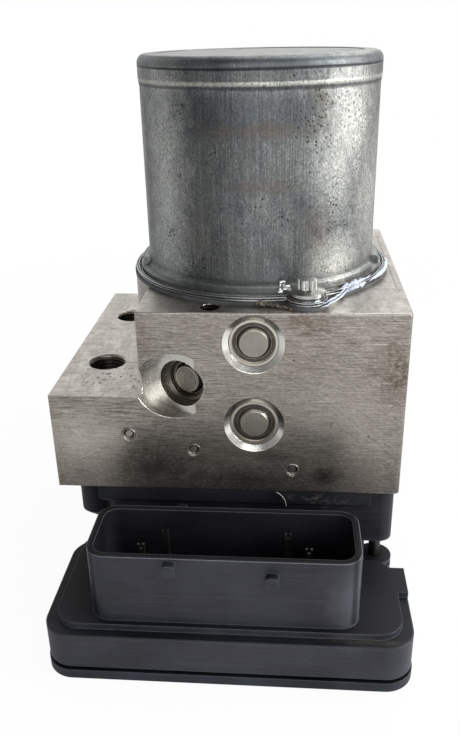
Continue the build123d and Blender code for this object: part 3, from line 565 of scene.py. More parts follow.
    # Shadowed walls of the tapped holes under the motor flange
    holes = [place_of("bracket_thread_" + end) for end in ("front", "rear")]
    tapped = stains(tree, *[(1, place, (4.4, 4.4, 9.0), 0.9, 0.0) for place in holes])
    pits = add(tree, "TexVoronoi", free, out="Distance", Scale=per(2.0))
    pitted = join(
        tree,
        "MAXIMUM",
        join(tree, "MULTIPLY", smudge(tree, (-38, -13, step_top), (14, 12, 4), 0.5, 0.4), flat),
        join(
            tree,
            "MULTIPLY",
            add(tree, "MapRange", add(tree, "TexNoise", free, Scale=per(9), Detail=2.0), 0.6, 0.68),
            0.8,
        ),
    )
    sparse = join(tree, "MULTIPLY", add(tree, "MapRange", pits, 0.15, 0.3, 1.0, 0.0), pitted)
    grain = add(
        tree, "TexNoise", placed(tree, (0.35, 0.35, 1.0)), Scale=per(0.5), Detail=3.0, Roughness=0.8
    )
    plain = join(tree, "SUBTRACT", 1.0, cone_highlight)
    # Line left by the cutter at the edge of its pass
    passes = join(
        tree,
        "MAXIMUM",
        scribed(tree, "X", -4.5, 0.3, 37.5, 53.2),
        scribed(tree, "Y", 52.9, 0.3, -4.5, 62.0),
    )
    passes = join(tree, "MULTIPLY", passes, above(tree, "Z", 99, 100))
    tone = layered(
        tree,
        "565049",
        (colour, add(tree, "MapRange", lines, 0.41, 0.55)),
        ("d2cdc4", add(tree, "MapRange", scratch, 0.66, 0.74), side, 0.6),
        ("6f6860", add(tree, "MapRange", side_wide, 0.5, 0.75), side, 0.12),
        ("6f6961", add(tree, "MapRange", cloud, 0.46, 0.66), 0.35),
        ("c2bcb3", lit_patches, 0.2),
        ("c8c2b9", paler, 0.55),
        # Painted light: faces that look up are made paler
        ("d0cbc3", flat, 0.35),
        ("dddcd7", cone_highlight, 0.9),
        ("5a5550", foot, add(tree, "MapRange", cloud, 0.2, 0.6, 0.45, 0.85)),
        ("231f1d", thumbs, 0.9),
        ("564a3e", browned, add(tree, "MapRange", speck, 0.4, 0.56, 0.1, 0.95)),
        ("4a4139", crept, add(tree, "MapRange", speck, 0.35, 0.65)),
        ("e2ded6", pale, 0.45),
        ("dedad2", wear_and_highlight, add(tree, "MapRange", speck, 0.35, 0.6, 0.1, 0.7)),
        ("1a1714", tapped, side, 0.9),
        ("35302a", sparse, 0.9),
        ("544e47", add(tree, "MapRange", grain, 0.5, 0.66), plain, 0.35),
        ("d5d1c8", add(tree, "MapRange", grain, 0.46, 0.34), plain, 0.2),
        ("514a43", passes, 0.6),
    )
    tree.links.new(tone, surface.inputs["Base Color"])
    rough = join(
        tree,
        "ADD",
        add(tree, "MapRange", lines, 0.2, 0.8, 0.26, 0.42),
        join(tree, "MULTIPLY", join(tree, "MAXIMUM", foot, thumbs), 0.16),
    )
    rough = join(tree, "ADD", rough, join(tree, "MULTIPLY", sparse, 0.3))
    rough = join(
        tree, "SUBTRACT", rough, join(tree, "MULTIPLY", join(tree, "MAXIMUM", cone_highlight, wear_and_highlight), 0.14)
    )
    tree.links.new(rough, surface.inputs["Roughness"])
    height = join(tree, "SUBTRACT", lines, join(tree, "MULTIPLY", sparse, 1.6))
    relief(
        tree,
        surface,
        join(tree, "SUBTRACT", height, join(tree, "MULTIPLY", passes, 1.2)),
        0.04,
        0.6,
        0.3,
    )
    return material


def plated_can_steel(colour):
    """Deep-drawn steel, zinc plated.

    Drawing leaves fine upright lines, here coarser than the real ones so that they show.
    Handling and heat leave brown bands round the front, and the plating has gone matt in patches
    with dark specks in them.
    """
    material, tree, surface = shader("drawn_steel_zinc_plated", 1.0, 0.42)
    free = placed(tree)
    draw = add(
        tree, "TexNoise", placed(tree, (1.0, 1.0, 0.02)), Scale=per(0.42), Detail=3.0, Roughness=0.7
    )
    cloud = add(
        tree,
        "TexNoise",
        placed(tree, (1.0, 1.0, 0.55)),
        Scale=per(13),
        Detail=7.0,
        Roughness=0.68,
        Distortion=0.5,
    )
    speck = add(tree, "TexNoise", free, Scale=per(1.1), Detail=5.0, Roughness=0.8)
    upright = join(tree, "SUBTRACT", 1.0, facing(tree, "Z"))
    crinkle = add(
        tree,
        "TexNoise",
        placed(tree, (1.0, 1.0, 0.8)),
        Scale=per(0.55),
        Detail=6.0,
        Roughness=0.85,
        Distortion=0.6,
    )
    under = join(tree, "MULTIPLY", above(tree, "Z", 147, 152), below(tree, "Z", 159, 161))
    matt = add(
        tree,
        "MapRange",
        add(
            tree,
            "TexNoise",
            placed(tree, (1, 1, 0.7)),
            Scale=per(10),
            Detail=6.0,
            Roughness=0.7,
            Distortion=0.8,
        ),
        0.47,
        0.6,
    )
    # Painted sheen on the left and painted highlights on the right, broken up like rubbed plating
    fleck = add(tree, "MapRange", crinkle, 0.58, 0.42, 0.1, 1.0)
    left_sheen = stains(
        tree,
        (1, (motor_x - 29, motor_y - 28, 136), (12, 17, 75), 0.0, 0.2, 4),
        (0.8, (motor_x - 39, motor_y - 6, 136), (8, 18, 75), 0.0, 0.2, 4),
    )
    lit_patches = stains(
        tree,
        (1, (motor_x + 31, motor_y - 25, 152), (15, 20, 24), 0.0, 0.25, 2.5),
        (0.8, (motor_x + 36, motor_y - 15, 130), (12, 20, 40), 0.0, 0.25, 2.5),
        (1, (motor_x + 27, motor_y - 29, 110), (14, 18, 13), 0.0, 0.25, 2.5),
        (0.6, (motor_x + 25, motor_y - 31, 138), (12, 16, 22), 0.0, 0.25, 2.5),
    )
    front = can_low.y
    bands = stains(
        tree,
        (1, (9, front, 150.5), (22, 14, 3.4), 0.1, 0.45, 6),
        (0.9, (13, front, 135), (22, 14, 2.6), 0.1, 0.45, 6),
        (0.55, (-8, front + 3, 118), (12, 14, 12), 0.1, 0.5, 8),
        (0.6, (28, front + 6, 120), (12, 14, 10), 0.1, 0.5, 8),
    )
    pits = add(tree, "TexVoronoi", free, out="Distance", Scale=per(1.25))
    pitted = join(
        tree,
        "MAXIMUM",
        smudge(tree, (27, front + 6, 154), (6, 10, 20), 0.3, 0.6, 3),
        smudge(tree, (33, front + 8, 128), (6, 10, 16), 0.1, 0.6, 3),
        join(tree, "MULTIPLY", lit_patches, add(tree, "MapRange", cloud, 0.45, 0.55)),
        join(
            tree,
            "MULTIPLY",
            add(
                tree,
                "MapRange",
                add(tree, "TexNoise", free, Scale=per(8), Detail=3.0, Roughness=0.6),
                0.58,
                0.64,
            ),
            0.9,
        ),
    )
    sparse = join(tree, "MULTIPLY", add(tree, "MapRange", pits, 0.18, 0.36, 1.0, 0.0), pitted)
    stain = smudge(tree, (motor_x + 20, motor_y - 35, 157), (7, 8, 14), 0.0, 0.6, 3)
    # Darkened roll of the top edge, and a painted highlight on the step where the crimped band ends
    rolled = join(tree, "MULTIPLY", above(tree, "Z", can_high.z - 3.2, can_high.z - 2.6), upright)
    step_highlight = join(tree, "MULTIPLY", hoop(tree, can_high.z - 7.3, 0.3, 0.75), upright)
    shade = join(tree, "MULTIPLY", hoop(tree, can_high.z - 8.5, 0.2, 0.6), upright)
    # Painted light makes the flat top paler, with marks and stains on it
    lit_lid = facing(tree, "Z", 0.9, 0.97)
    blots = add(
        tree,
        "MapRange",
        add(
            tree,
            "TexNoise",
            placed(tree, (1, 0.5, 1)),
            Scale=per(4),
            Detail=6.0,
            Roughness=0.8,
            Distortion=0.1,
        ),
        0.5,
        0.66,
    )
    # Rolled groove under the top edge, where the crimp ends, with painted shade in it
    groove = join(tree, "MULTIPLY", hoop(tree, can_high.z - 3.4, 0.15, 0.5), upright)
    # Painted shade low on the can, next to the flange
    foot = join(tree, "MULTIPLY", upright, below(tree, "Z", flange_high.z + 0.6, flange_high.z + 7))
    tone = layered(
        tree,
        "4c5054",
        (colour, add(tree, "MapRange", cloud, 0.36, 0.64)),
        ("3e4246", add(tree, "MapRange", draw, 0.46, 0.6), upright, 0.5),
        ("94979a", add(tree, "MapRange", draw, 0.46, 0.36), upright, 0.22),
        ("2a2c2e", add(tree, "MapRange", crinkle, 0.5, 0.6), 0.7),
        ("a9aaa6", add(tree, "MapRange", crinkle, 0.45, 0.34), 0.55),
        ("3a3d41", under, upright, 0.45),
        ("55534d", matt, add(tree, "MapRange", speck, 0.35, 0.6), 0.5),
        ("cdcfcc", left_sheen, add(tree, "MapRange", fleck, 0.1, 1.0, 0.25, 0.9), upright),
        ("d6d6cf", lit_patches, add(tree, "MapRange", fleck, 0.1, 1.0, 0.3, 0.95)),
        ("5a4d44", bands, add(tree, "MapRange", speck, 0.3, 0.6, 0.2, 0.6)),
        ("211f1c", sparse, 0.95),
        ("4c4438", stain, add(tree, "MapRange", speck, 0.4, 0.6, 0.1, 0.7)),
        ("4f5458", rolled, 0.6),
        ("c9c8c0", step_highlight, add(tree, "MapRange", crinkle, 0.6, 0.4, 0.15, 0.75)),
        ("33363a", shade, 0.6),
        ("a8a9a5", lit_lid, 0.5),
        ("4a4640", lit_lid, blots, 0.7),
        ("2a2c2f", groove, 0.9),
        ("5a5c5d", foot, add(tree, "MapRange", cloud, 0.3, 0.6, 0.2, 0.6)),
    )
    tree.links.new(tone, surface.inputs["Base Color"])
    rough = join(
        tree,
        "ADD",
        add(tree, "MapRange", cloud, 0.3, 0.7, 0.36, 0.5),
        join(tree, "MULTIPLY", join(tree, "MAXIMUM", matt, bands), 0.08),
    )
    tree.links.new(rough, surface.inputs["Roughness"])
    height = join(tree, "SUBTRACT", draw, join(tree, "MULTIPLY", sparse, 1.5))
    height = join(tree, "ADD", height, join(tree, "MULTIPLY", crinkle, 0.8))
    relief(
        tree,
        surface,
        join(tree, "SUBTRACT", height, join(tree, "MULTIPLY", groove, 3.0)),
        0.06,
        0.9,
    )
    return material


def stamped_flange_steel(colour):
    """Cold-rolled steel, stamped and plated: satin, with painted shade in the channel round the can and a painted
    highlight on its edges.
    """
    material, tree, surface = shader("cold_rolled_steel_stamped", 1.0, 0.34)
    free = placed(tree)
    ring = round_motor(tree)
    cloud = add(tree, "TexNoise", free, Scale=per(7), Detail=5.0, Roughness=0.65)
    speck = add(tree, "TexNoise", free, Scale=per(0.9), Detail=4.0, Roughness=0.7)
    channel_shade = join(
        tree,
        "MULTIPLY",
        add(tree, "MapRange", ring, 42.2 * MM, 42.8 * MM, 1.0, 0.0),
        add(tree, "MapRange", speck, 0.2, 0.5, 0.6, 1.0),
    )
    crust = smudge(
        tree, (17.5, block_low.y + 4.6, flange_high.z - 0.7), (8.5, 4.0, 3.0), 0.2, 0.5, 2.0
    )
    # Painted highlight along the edges
    wear_and_highlight = edges(tree, 0.5)
    tone = layered(
        tree,
        colour,
        ("34373a", add(tree, "MapRange", cloud, 0.35, 0.65)),
        ("222324", channel_shade, 0.9),
        ("4b3a2c", crust, add(tree, "MapRange", speck, 0.3, 0.6, 0.4, 1.0)),
        ("eef0f0", wear_and_highlight, add(tree, "MapRange", speck, 0.3, 0.5, 0.4, 1.0)),
    )
    tree.links.new(tone, surface.inputs["Base Color"])
    rough = join(
        tree,
        "ADD",
        add(tree, "MapRange", cloud, 0.3, 0.7, 0.26, 0.4),
        join(tree, "MULTIPLY", join(tree, "MAXIMUM", channel_shade, crust), 0.3),
    )
    tree.links.new(rough, surface.inputs["Roughness"])
    relief(tree, surface, speck, 0.02, 0.5)
    return material


def moulded_nylon(name, colour, wear_and_highlight, grey):
    """Glass-filled nylon, moulded.

    Charcoal with a satin skin: faint flow lines along the walls, paler rubbed patches, light dust
    on what faces up, and hair-fine scratches. What faces up is painted darker as shade, and the
    edges and a patch on the front walls carry painted highlights.
    """
    material, tree, surface = shader(name, 0.0, 0.48, IOR=1.5, Specular_IOR_Level=0.22)
    free = placed(tree)
    flat = facing(tree, "Z")
    cloud = add(tree, "TexNoise", free, Scale=per(20), Detail=5.0, Roughness=0.62)
    flow = add(
        tree,
        "TexNoise",
        placed(tree, (0.03, 0.03, 1.0), (0, radians(1.0), 0)),
        Scale=per(0.6),
        Detail=3.0,
        Roughness=0.6,
    )
    speck = add(tree, "TexNoise", free, Scale=per(0.8), Detail=4.0, Roughness=0.75)
    rubs = add(
        tree,
        "TexNoise",
        placed(tree, (0.25, 1.0, 1.0), (0.3, 0.2, 0.5)),
        Scale=per(0.9),
        Detail=5.0,
        Roughness=0.8,
        Distortion=0.4,
    )
    scuff = join(
        tree,
        "MULTIPLY",
        add(tree, "MapRange", rubs, 0.66, 0.74),
        add(tree, "MapRange", add(tree, "TexNoise", free, Scale=per(11), Detail=3.0), 0.5, 0.62),
    )
    grit = add(tree, "TexVoronoi", free, out="Distance", Scale=per(3.6))
    grit = join(
        tree,
        "MULTIPLY",
        add(tree, "MapRange", grit, 0.04, 0.07, 1.0, 0.0),
        add(tree, "MapRange", add(tree, "TexNoise", free, Scale=per(15), Detail=2.0), 0.5, 0.55),
    )
    # Painted highlights along the edges, brighter on the rim at the top
    rim = edges(tree, 0.45)
    socket = place_of("connector_socket")
    top = above(tree, "Z", socket.z - 0.8, socket.z - 0.4)
    lit = join(
        tree,
        "MULTIPLY",
        smudge(tree, (38, house_low.y + 8, 27), (9, 16, 16), 0.0, 0.3, 5),
        join(tree, "SUBTRACT", 1.0, flat),
    )
    # Deep inside the connector and under the block little light and dust get in
    offset = add(tree, "SeparateXYZ", placed(tree, start=socket)).node.outputs
    inside = join(
        tree,
        "MULTIPLY",
        add(
            tree,
            "MapRange",
            add(tree, "Math", offset["X"], operation="ABSOLUTE"),
            38.3 * MM,
            38.9 * MM,
            1.0,
            0.0,
        ),
        add(
            tree,
            "MapRange",
            add(tree, "Math", offset["Y"], operation="ABSOLUTE"),
            11.4 * MM,
            12.0 * MM,
            1.0,
            0.0,
        ),
        above(tree, "Z", 19.0, 19.4),
    )
    under = join(
        tree,
        "MULTIPLY",
        above(tree, "Y", block_low.y - 3, block_low.y - 2),
        above(tree, "Z", 19.5, 21),
    )
    hidden = join(
        tree, "MAXIMUM", join(tree, "MULTIPLY", inside, 0.75), join(tree, "MULTIPLY", under, 0.5)
    )
    shine = add(
        tree,
        "MapRange",
        join(tree, "MAXIMUM", hidden, join(tree, "MULTIPLY", flat, 0.5)),
        0.0,
        1.0,
        0.24,
        0.05,
    )
    tree.links.new(shine, surface.inputs["Specular IOR Level"])
    # Pale scuffs just under the block and tan dust in the corner at the foot of the plate
    scuffs = join(
        tree,
        "MULTIPLY",
        smudge(tree, (30, block_low.y + 1.2, 35.5), (13, 3, 3.4), 0.1, 0.5, 3),
        add(
            tree,
            "MapRange",
            add(
                tree,
                "TexNoise",
                placed(tree, (0.3, 1, 1), (0, 0.6, 0)),
                Scale=per(0.7),
                Detail=4.0,
                Roughness=0.8,
            ),
            0.52,
            0.62,
        ),
    )
    dust = join(
        tree,
        "MULTIPLY",
        smudge(tree, (43, house_low.y + 2.6, 16.9), (17, 1.5, 1.2), 0.1, 0.4, 3),
        add(tree, "MapRange", speck, 0.35, 0.6),
    )
    tone = layered(
        tree,
        colour,
        (wear_and_highlight, add(tree, "MapRange", cloud, 0.38, 0.72)),
        # Painted shade: faces that look up are made darker
        ("08090b", flat, 0.75),
        (grey, add(tree, "MapRange", flow, 0.5, 0.7), join(tree, "SUBTRACT", 1.0, flat), 0.3),
        ("565554", scuff, 0.25),
        ("7b776f", grit, 0.2),
        ("5c5f65", rim, add(tree, "MapRange", speck, 0.3, 0.6, 0.1, 0.45)),
        ("8a8d93", rim, top, 0.5),
        ("4d4e55", lit, 0.75),
        ("050506", hidden, 0.8),
        ("77746f", scuffs, 0.6),
        ("6d675b", dust, 0.25),
    )
    tree.links.new(tone, surface.inputs["Base Color"])
    rough = join(
        tree,
        "ADD",
        add(tree, "MapRange", cloud, 0.3, 0.7, 0.4, 0.52),
        join(tree, "MULTIPLY", join(tree, "MAXIMUM", scuff, dust), 0.2),
    )
    tree.links.new(rough, surface.inputs["Roughness"])
    skin = add(tree, "TexNoise", free, Scale=per(0.45), Detail=3.0, Roughness=0.6)
    relief(
        tree, surface, join(tree, "ADD", skin, join(tree, "MULTIPLY", scuff, 1.0)), 0.012, 0.35, 0.4
    )
    return material


def turned_plug_steel(name, centre, axis, oiled):
    """Free-cutting steel, turned.

    Rings of tool marks round its axis stretch the highlights into crescents, and painted shade
    darkens the groove between the rim and the boss; the edges carry wear and a painted highlight.
    The rings stand 0.45 mm apart, wider than the real feed, so that they show.
    """
    material, tree, surface = shader(name, 1.0, 0.3)
    radius = off_axis(tree, centre, Vector(axis).normalized())
    turned_marks = add(
        tree, "Math", join(tree, "MULTIPLY", radius, 2 * pi * per(0.45)), operation="SINE"
    )
    free = placed(tree)
    cloud = add(tree, "TexNoise", free, Scale=per(3.5), Detail=5.0, Roughness=0.65)
    speck = add(tree, "TexNoise", free, Scale=per(0.7), Detail=4.0, Roughness=0.7)
    # Painted shade in the groove between the rim and the boss
    groove = join(
        tree,
        "MULTIPLY",
        add(tree, "MapRange", radius, 4.3 * MM, 5.4 * MM),
        add(tree, "MapRange", radius, 6.4 * MM, 6.9 * MM, 1.0, 0.0),
    )
    rim = join(
        tree,
        "MULTIPLY",
        add(tree, "MapRange", radius, 6.75 * MM, 6.9 * MM),
        add(tree, "MapRange", radius, 7.3 * MM, 7.5 * MM, 1.0, 0.0),
    )
    disc = add(tree, "MapRange", radius, 4.1 * MM, 4.3 * MM, 1.0, 0.0)
    outside = add(tree, "MapRange", radius, 4.2 * MM, 4.6 * MM)
    # Edge wear with a painted highlight along the edges
    wear_and_highlight = edges(tree, 0.3)
    tone = layered(
        tree,
        "a8a49b",
        ("8d887e", add(tree, "MapRange", cloud, 0.35, 0.65)),
        ("332d28", groove, add(tree, "MapRange", speck, 0.2, 0.5, 0.5, 0.9)),
        ("c9c4bb", rim, 0.4),
        ("7b7770", disc, 0.65),
        ("3f3a34", disc, oiled, add(tree, "MapRange", speck, 0.35, 0.6, 0.5, 1.0)),
        ("2b241e", outside, oiled, add(tree, "MapRange", speck, 0.3, 0.6, 0.6, 1.0)),
        ("e4e1da", wear_and_highlight, 0.6),
    )
    tree.links.new(tone, surface.inputs["Base Color"])
    tree.links.new(add(tree, "MapRange", speck, 0.3, 0.7, 0.24, 0.4), surface.inputs["Roughness"])
    relief(
        tree,
        surface,
        join(tree, "ADD", turned_marks, join(tree, "MULTIPLY", speck, 1.5)),
        0.012,
        0.5,
    )
    return material


def turned_metal(name, colour, stain, roughness, ring_mm=0.4):
    """Turned or ground metal: tool lines, coarse enough to show, with a slight stain."""
    material, tree, surface = shader(name, 1.0, roughness)
    free = placed(tree)
    lines = add(tree, "TexNoise", free, Scale=per(ring_mm), Detail=3.0, Roughness=0.6)
    cloud = add(tree, "TexNoise", free, Scale=per(5), Detail=4.0, Roughness=0.6)
    tone = layered(
        tree,
        colour,
        (stain, add(tree, "MapRange", cloud, 0.4, 0.7)),
    )
    tree.links.new(tone, surface.inputs["Base Color"])
    tree.links.new(
        add(tree, "MapRange", lines, 0.3, 0.7, roughness - 0.06, roughness + 0.08),
        surface.inputs["Roughness"],
    )
    relief(tree, surface, lines, 0.008, 0.4)
    return material


def plain_moulding(name, colour, shade, roughness, grain_mm, metallic=0.0):
    """Moulded, sintered or coated surface with a fine grain and a mild change of tone."""
    material, tree, surface = shader(name, metallic, roughness)
    free = placed(tree)
    tone = layered(
        tree,
        colour,
        (
            shade,
            add(tree, "MapRange", add(tree, "TexNoise", free, Scale=per(6), Detail=4.0), 0.4, 0.7),
        ),
    )
    tree.links.new(tone, surface.inputs["Base Color"])
    grain = add(tree, "TexNoise", free, Scale=per(grain_mm), Detail=3.0)
    tree.links.new(
        add(tree, "MapRange", grain, 0.3, 0.7, roughness - 0.07, roughness + 0.07),
        surface.inputs["Roughness"],
    )
    relief(tree, surface, grain, 0.015, 0.4)
    return material


def wound_copper(name):
    """Enamelled copper wire: level turns seen as fine ridges, amber varnish."""
    material, tree, surface = shader(name, 0.85, 0.32)
    turns = add(
        tree,
        "TexWave",
        placed(tree),
        out="Fac",
        wave_type="BANDS",
        bands_direction="Z",
        Scale=per(0.5) / 20,
        Distortion=0.4,
    )
    tone = layered(
        tree,
        "7a4322",
        ("b8743f", turns),
    )
    tree.links.new(tone, surface.inputs["Base Color"])
    relief(tree, surface, turns, 0.08, 0.6)
    return material


def torn_silicone(colour):
    """Silicone sealant, cured: milky blue-grey and rough where torn, a little light in it."""
    material, tree, surface = shader(
        "silicone_sealant_torn", 0.0, 0.55, IOR=1.41, Subsurface_Weight=0.15
    )
    free = placed(tree)
    tone = layered(
        tree,
        colour,
        (
            "9a9eaa",
            add(
                tree,
                "MapRange",
                add(tree, "TexNoise", free, Scale=per(1.2), Detail=4.0, Roughness=0.7),
                0.4,
                0.65,
            ),
        ),
        (
            "54565b",
            add(
                tree,
                "MapRange",
                add(tree, "TexNoise", free, Scale=per(0.8), Detail=4.0, Roughness=0.7),
                0.58,
                0.7,
            ),
        ),
    )
    tree.links.new(tone, surface.inputs["Base Color"])
    relief(
        tree,
        surface,
        add(tree, "TexNoise", free, Scale=per(0.5), Detail=4.0, Roughness=0.7),
        0.1,
        0.8,
    )
    return material


def packed_dirt():
    """Road dirt and rust packed round the bolt ear: dry, brown, crumbly, quite without gloss."""
    material, tree, surface = shader("road_dirt_packed", 0.0, 0.9)
    free = placed(tree)
    tone = layered(
        tree,
        "2a231d",
        (
            "6a6156",
            add(
                tree,
                "MapRange",
                add(tree, "TexNoise", free, Scale=per(0.8), Detail=4.0, Roughness=0.8),
                0.4,
                0.6,
            ),
        ),
    )
    tree.links.new(tone, surface.inputs["Base Color"])
    relief(
        tree,
        surface,
        add(tree, "TexNoise", free, Scale=per(0.4), Detail=4.0, Roughness=0.8),
        0.1,
        0.9,
    )
    return material


# ------------------------------------------------------------------ plain finishes


# Turned, ground, drawn and stamped metals: colour, stain, roughness, width of the tool lines
METALS = {
    # Lathe-turned steel: mid grey, soft highlights
    "free_cutting_steel_turned": ("9a9892", "7c776f", 0.34, 0.4),
    # Ground steel: bright and smooth, lines hardly to be seen
    "bearing_steel_ground": ("a5a7a8", "8e8f8f", 0.22, 0.2),
    # Drawn wire: dark grey with a low sheen
    "spring_wire_drawn": ("6a6b6d", "55565a", 0.35, 0.4),
    # Tinned bronze blades: dull, and painted darker for the shade inside the connector
    "tin_plated_bronze_stamped": ("787672", "4d4b48", 0.38, 0.4),
    # Tinned wire pins, deep in the connector: painted nearly black as shade
    "tin_plated_wire_drawn": ("2b2a28", "1c1b1a", 0.45, 0.4),
    # Tapped aluminium: painted dim for the shade inside the ports, broken glints on the crests
    "extruded_aluminium_tapped": ("544f49", "292521", 0.36, 0.3),
    # The same, painted nearly black for oil and for the shade deep in the holes
    "extruded_aluminium_tapped_oil_and_shade": ("26221f", "161412", 0.42, 0.3),
    # Flake-coated bolts: pale, clean, bright
    "cold_headed_steel_zinc_flake": ("b2b3b0", "86847e", 0.22, 0.4),
    # Fresh fold of sheet steel: the palest metal here
    "cold_rolled_steel_folded": ("e2e4e4", "b4b6b6", 0.3, 0.4),
    # Old plated screws: brown grey and dull
    "cold_headed_steel_zinc_plated": ("474643", "33322f", 0.42, 0.4),
}
# Moulded, pressed and sintered: colour, shade, roughness, width of the grain, metallic
MOULDINGS = {
    # Rubber: dark grey, quite dull
    "nitrile_rubber_moulded": ("4a4c4e", "2b2c2e", 0.6, 0.5),
    # Stacked sheets: a dull metal with fine lines
    "electrical_steel_stacked": ("5d5f62", "494b4e", 0.45, 0.5, 1.0),
    # Ceramic magnet: near black, dry
    "ferrite_sintered": ("2d2e30", "232426", 0.6, 0.4),
    # Brush: black with a slight copper glint
    "copper_graphite_pressed": ("3a3430", "2a2623", 0.5, 0.3, 0.3),
    # Brush plate: brown black, satin
    "phenolic_moulded": ("2a2725", "201e1c", 0.5, 0.6),
    # Board: green varnish over woven glass
    "glass_epoxy_laminate": ("1e4a2c", "173c24", 0.4, 0.8),
    # Fibre: pale and soft
    "polyester_fibre_drawn": ("b5b2aa", "8f8b84", 0.5, 0.3),
}
# Plain finish of each CAD node, by how its name starts
PLAIN_NODES = {
    "block": {
        "accumulator_cap": "free_cutting_steel_turned",
        "accumulator_piston": "bearing_steel_ground",
        "accumulator_spring": "spring_wire_drawn",
        "ball_plugs": "free_cutting_steel_turned",
        "bearing_": "free_cutting_steel_turned",
        "eccentric_bearing": "free_cutting_steel_turned",
        "inlet_valves": "free_cutting_steel_turned",
        "isolation_valves": "free_cutting_steel_turned",
        "outlet_valves": "free_cutting_steel_turned",
        "pressure_sensor": "free_cutting_steel_turned",
        "pump_piston": "bearing_steel_ground",
        "pump_shaft": "bearing_steel_ground",
        "pump_spring": "spring_wire_drawn",
        "suction_valves": "free_cutting_steel_turned",
    },
    "motor": {
        "armature_core": "electrical_steel_stacked",
        "brush_plate": "phenolic_moulded",
        "motor_bolts": "cold_headed_steel_zinc_flake",
        "motor_brush": "copper_graphite_pressed",
        "motor_gasket": "nitrile_rubber_moulded",
        "motor_magnet": "ferrite_sintered",
    },
    "control_unit": {
        "ecu_circuit_board": "glass_epoxy_laminate",
        "ecu_screws": "cold_headed_steel_zinc_plated",
        "power_blades": "tin_plated_bronze_stamped",
        "signal_pins": "tin_plated_wire_drawn",
    },
}


def plain_finish(name):
    """A plain finish by its name, made when it is first asked for."""
    if name not in bpy.data.materials:
        if name in METALS:
            return turned_metal(name, *METALS[name])
        return plain_moulding(name, *MOULDINGS[name])
    return bpy.data.materials[name]


def finish_plain_nodes(group):
    """Give the plain nodes of a group their finish."""
    for start, finish in PLAIN_NODES[group].items():
        for name in nodes:
            if name.startswith(start):
                finish_node(name, plain_finish(finish))


# ------------------------------------------------------------------ block


def port_thread(radius, pitch, length, depth):
    """A thread ridge inside a bore, standing on the XY plane and open along Z."""
    crest = radius - depth
    root = radius + 0.08
    bm = bmesh.new()
    corners = [
        bm.verts.new((across, 0, share * pitch))
        for across, share in ((root, -0.46), (root, 0.46), (crest, 0.08), (crest, -0.08))
    ]
    for pair in zip(corners, corners[1:] + corners[:1]):
        bm.edges.new(pair)
    turns = int(length / pitch)
    return swept(bm, 2 * pi * turns, 36 * turns, rise=pitch * turns)


class MODULATOR_OT_block(bpy.types.Operator):
    """Finish the valve block and the plain parts that sit in it"""

    bl_idname = "modulator.block"
    bl_label = "Finish the valve block"

    def execute(self, context):
        finish_node("valve_block", milled_aluminium(context.scene.modulator_colours.block))
        finish_plain_nodes("block")
        return {"FINISHED"}


class MODULATOR_OT_plugs(bpy.types.Operator):
    """Finish the pump plugs, each with rings round its own axis"""

    bl_idname = "modulator.plugs"
    bl_label = "Finish the pump plugs"

    def execute(self, context):
        for name in nodes:
            if name.startswith("pump_plug"):
                low, high = span_of(name)
                middle = (low + high) / 2
                axis = (middle.x - motor_x, middle.y - motor_y, 0)
                oiled = 0.55 if "middle" in name else 0.0
                finish = turned_plug_steel("free_cutting_steel_plug", middle, axis, oiled)
                finish_node(name, finish)
        return {"FINISHED"}


class MODULATOR_OT_threads(bpy.types.Operator):
    """Cut threads in the ports and in the holes for the mounting bracket"""

    bl_idname = "modulator.threads"
    bl_label = "Cut the threads"

    def execute(self, context):
        depth = context.scene.modulator_sizes.thread_depth / MM
        for piece, kinds, pitch, finish in (
            ("port_threads", ("master_port", "wheel_port"), 1.25, "extruded_aluminium_tapped"),
            ("bracket_threads", ("bracket_thread",), 1.0, "extruded_aluminium_tapped_oil_and_shade"),
        ):
            bm = bmesh.new()
            for name, mount in mounts.items():
                if name.startswith(kinds):
                    length = mount["dims"]["length_mm"] - 1.0
                    outward = Vector(mount["axis"])
                    start = place_of(name) + outward * (length / 2 - 0.3)
                    turn = (-outward).to_track_quat("Z", "Y").to_matrix().to_4x4()
                    part = port_thread(mount["dims"]["r_mm"], pitch, length, depth)
                    gather(bm, part, Matrix.Translation(start) @ turn)
            settle(bm, piece, plain_finish(finish))
        return {"FINISHED"}


class MODULATOR_OT_stakes(bpy.types.Operator):
    """Stake rings of block metal over the sealing balls on the front"""

    bl_idname = "modulator.stakes"
    bl_label = "Stake the sealing balls"

    def execute(self, context):
        bm = bmesh.new()
        upright = Matrix.Rotation(pi / 2, 4, "X")
        for across, up in ((25.1, 20.05), (45.9, 14.85), (77.4, 8.15)):
            place = (block_low.x + across, block_low.y + 0.1, block_low.z + up)
            part = swept(round_section(1.95, 0.0, 0.26), 2 * pi, 40, closed=True)
            gather(bm, part, Matrix.Translation(place) @ upright)
        settle(bm, "ball_stakes", plain_finish("free_cutting_steel_turned"))
        return {"FINISHED"}


class MODULATOR_OT_springs(bpy.types.Operator):
    """Copy each spring that shortens as its piston moves out into a piece of its own, and hide the CAD spring"""

    bl_idname = "modulator.springs"
    bl_label = "Make the soft springs"

    def execute(self, context):
        for joint in frame["joints"]:
            for soft in joint.get("deforming_nodes", []):
                name = soft["node"]
                bm = bmesh.new()
                bm.from_mesh(nodes[name].data)
                bmesh.ops.transform(bm, matrix=nodes[name].matrix_world, verts=bm.verts)
                bmesh.ops.scale(bm, vec=(1 / MM, 1 / MM, 1 / MM), verts=bm.verts)
                piece = settle(bm, "soft_" + name, plain_finish("spring_wire_drawn"), smooth=False)
                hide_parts(name)
                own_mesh(piece)
        return {"FINISHED"}


# ------------------------------------------------------------------ motor


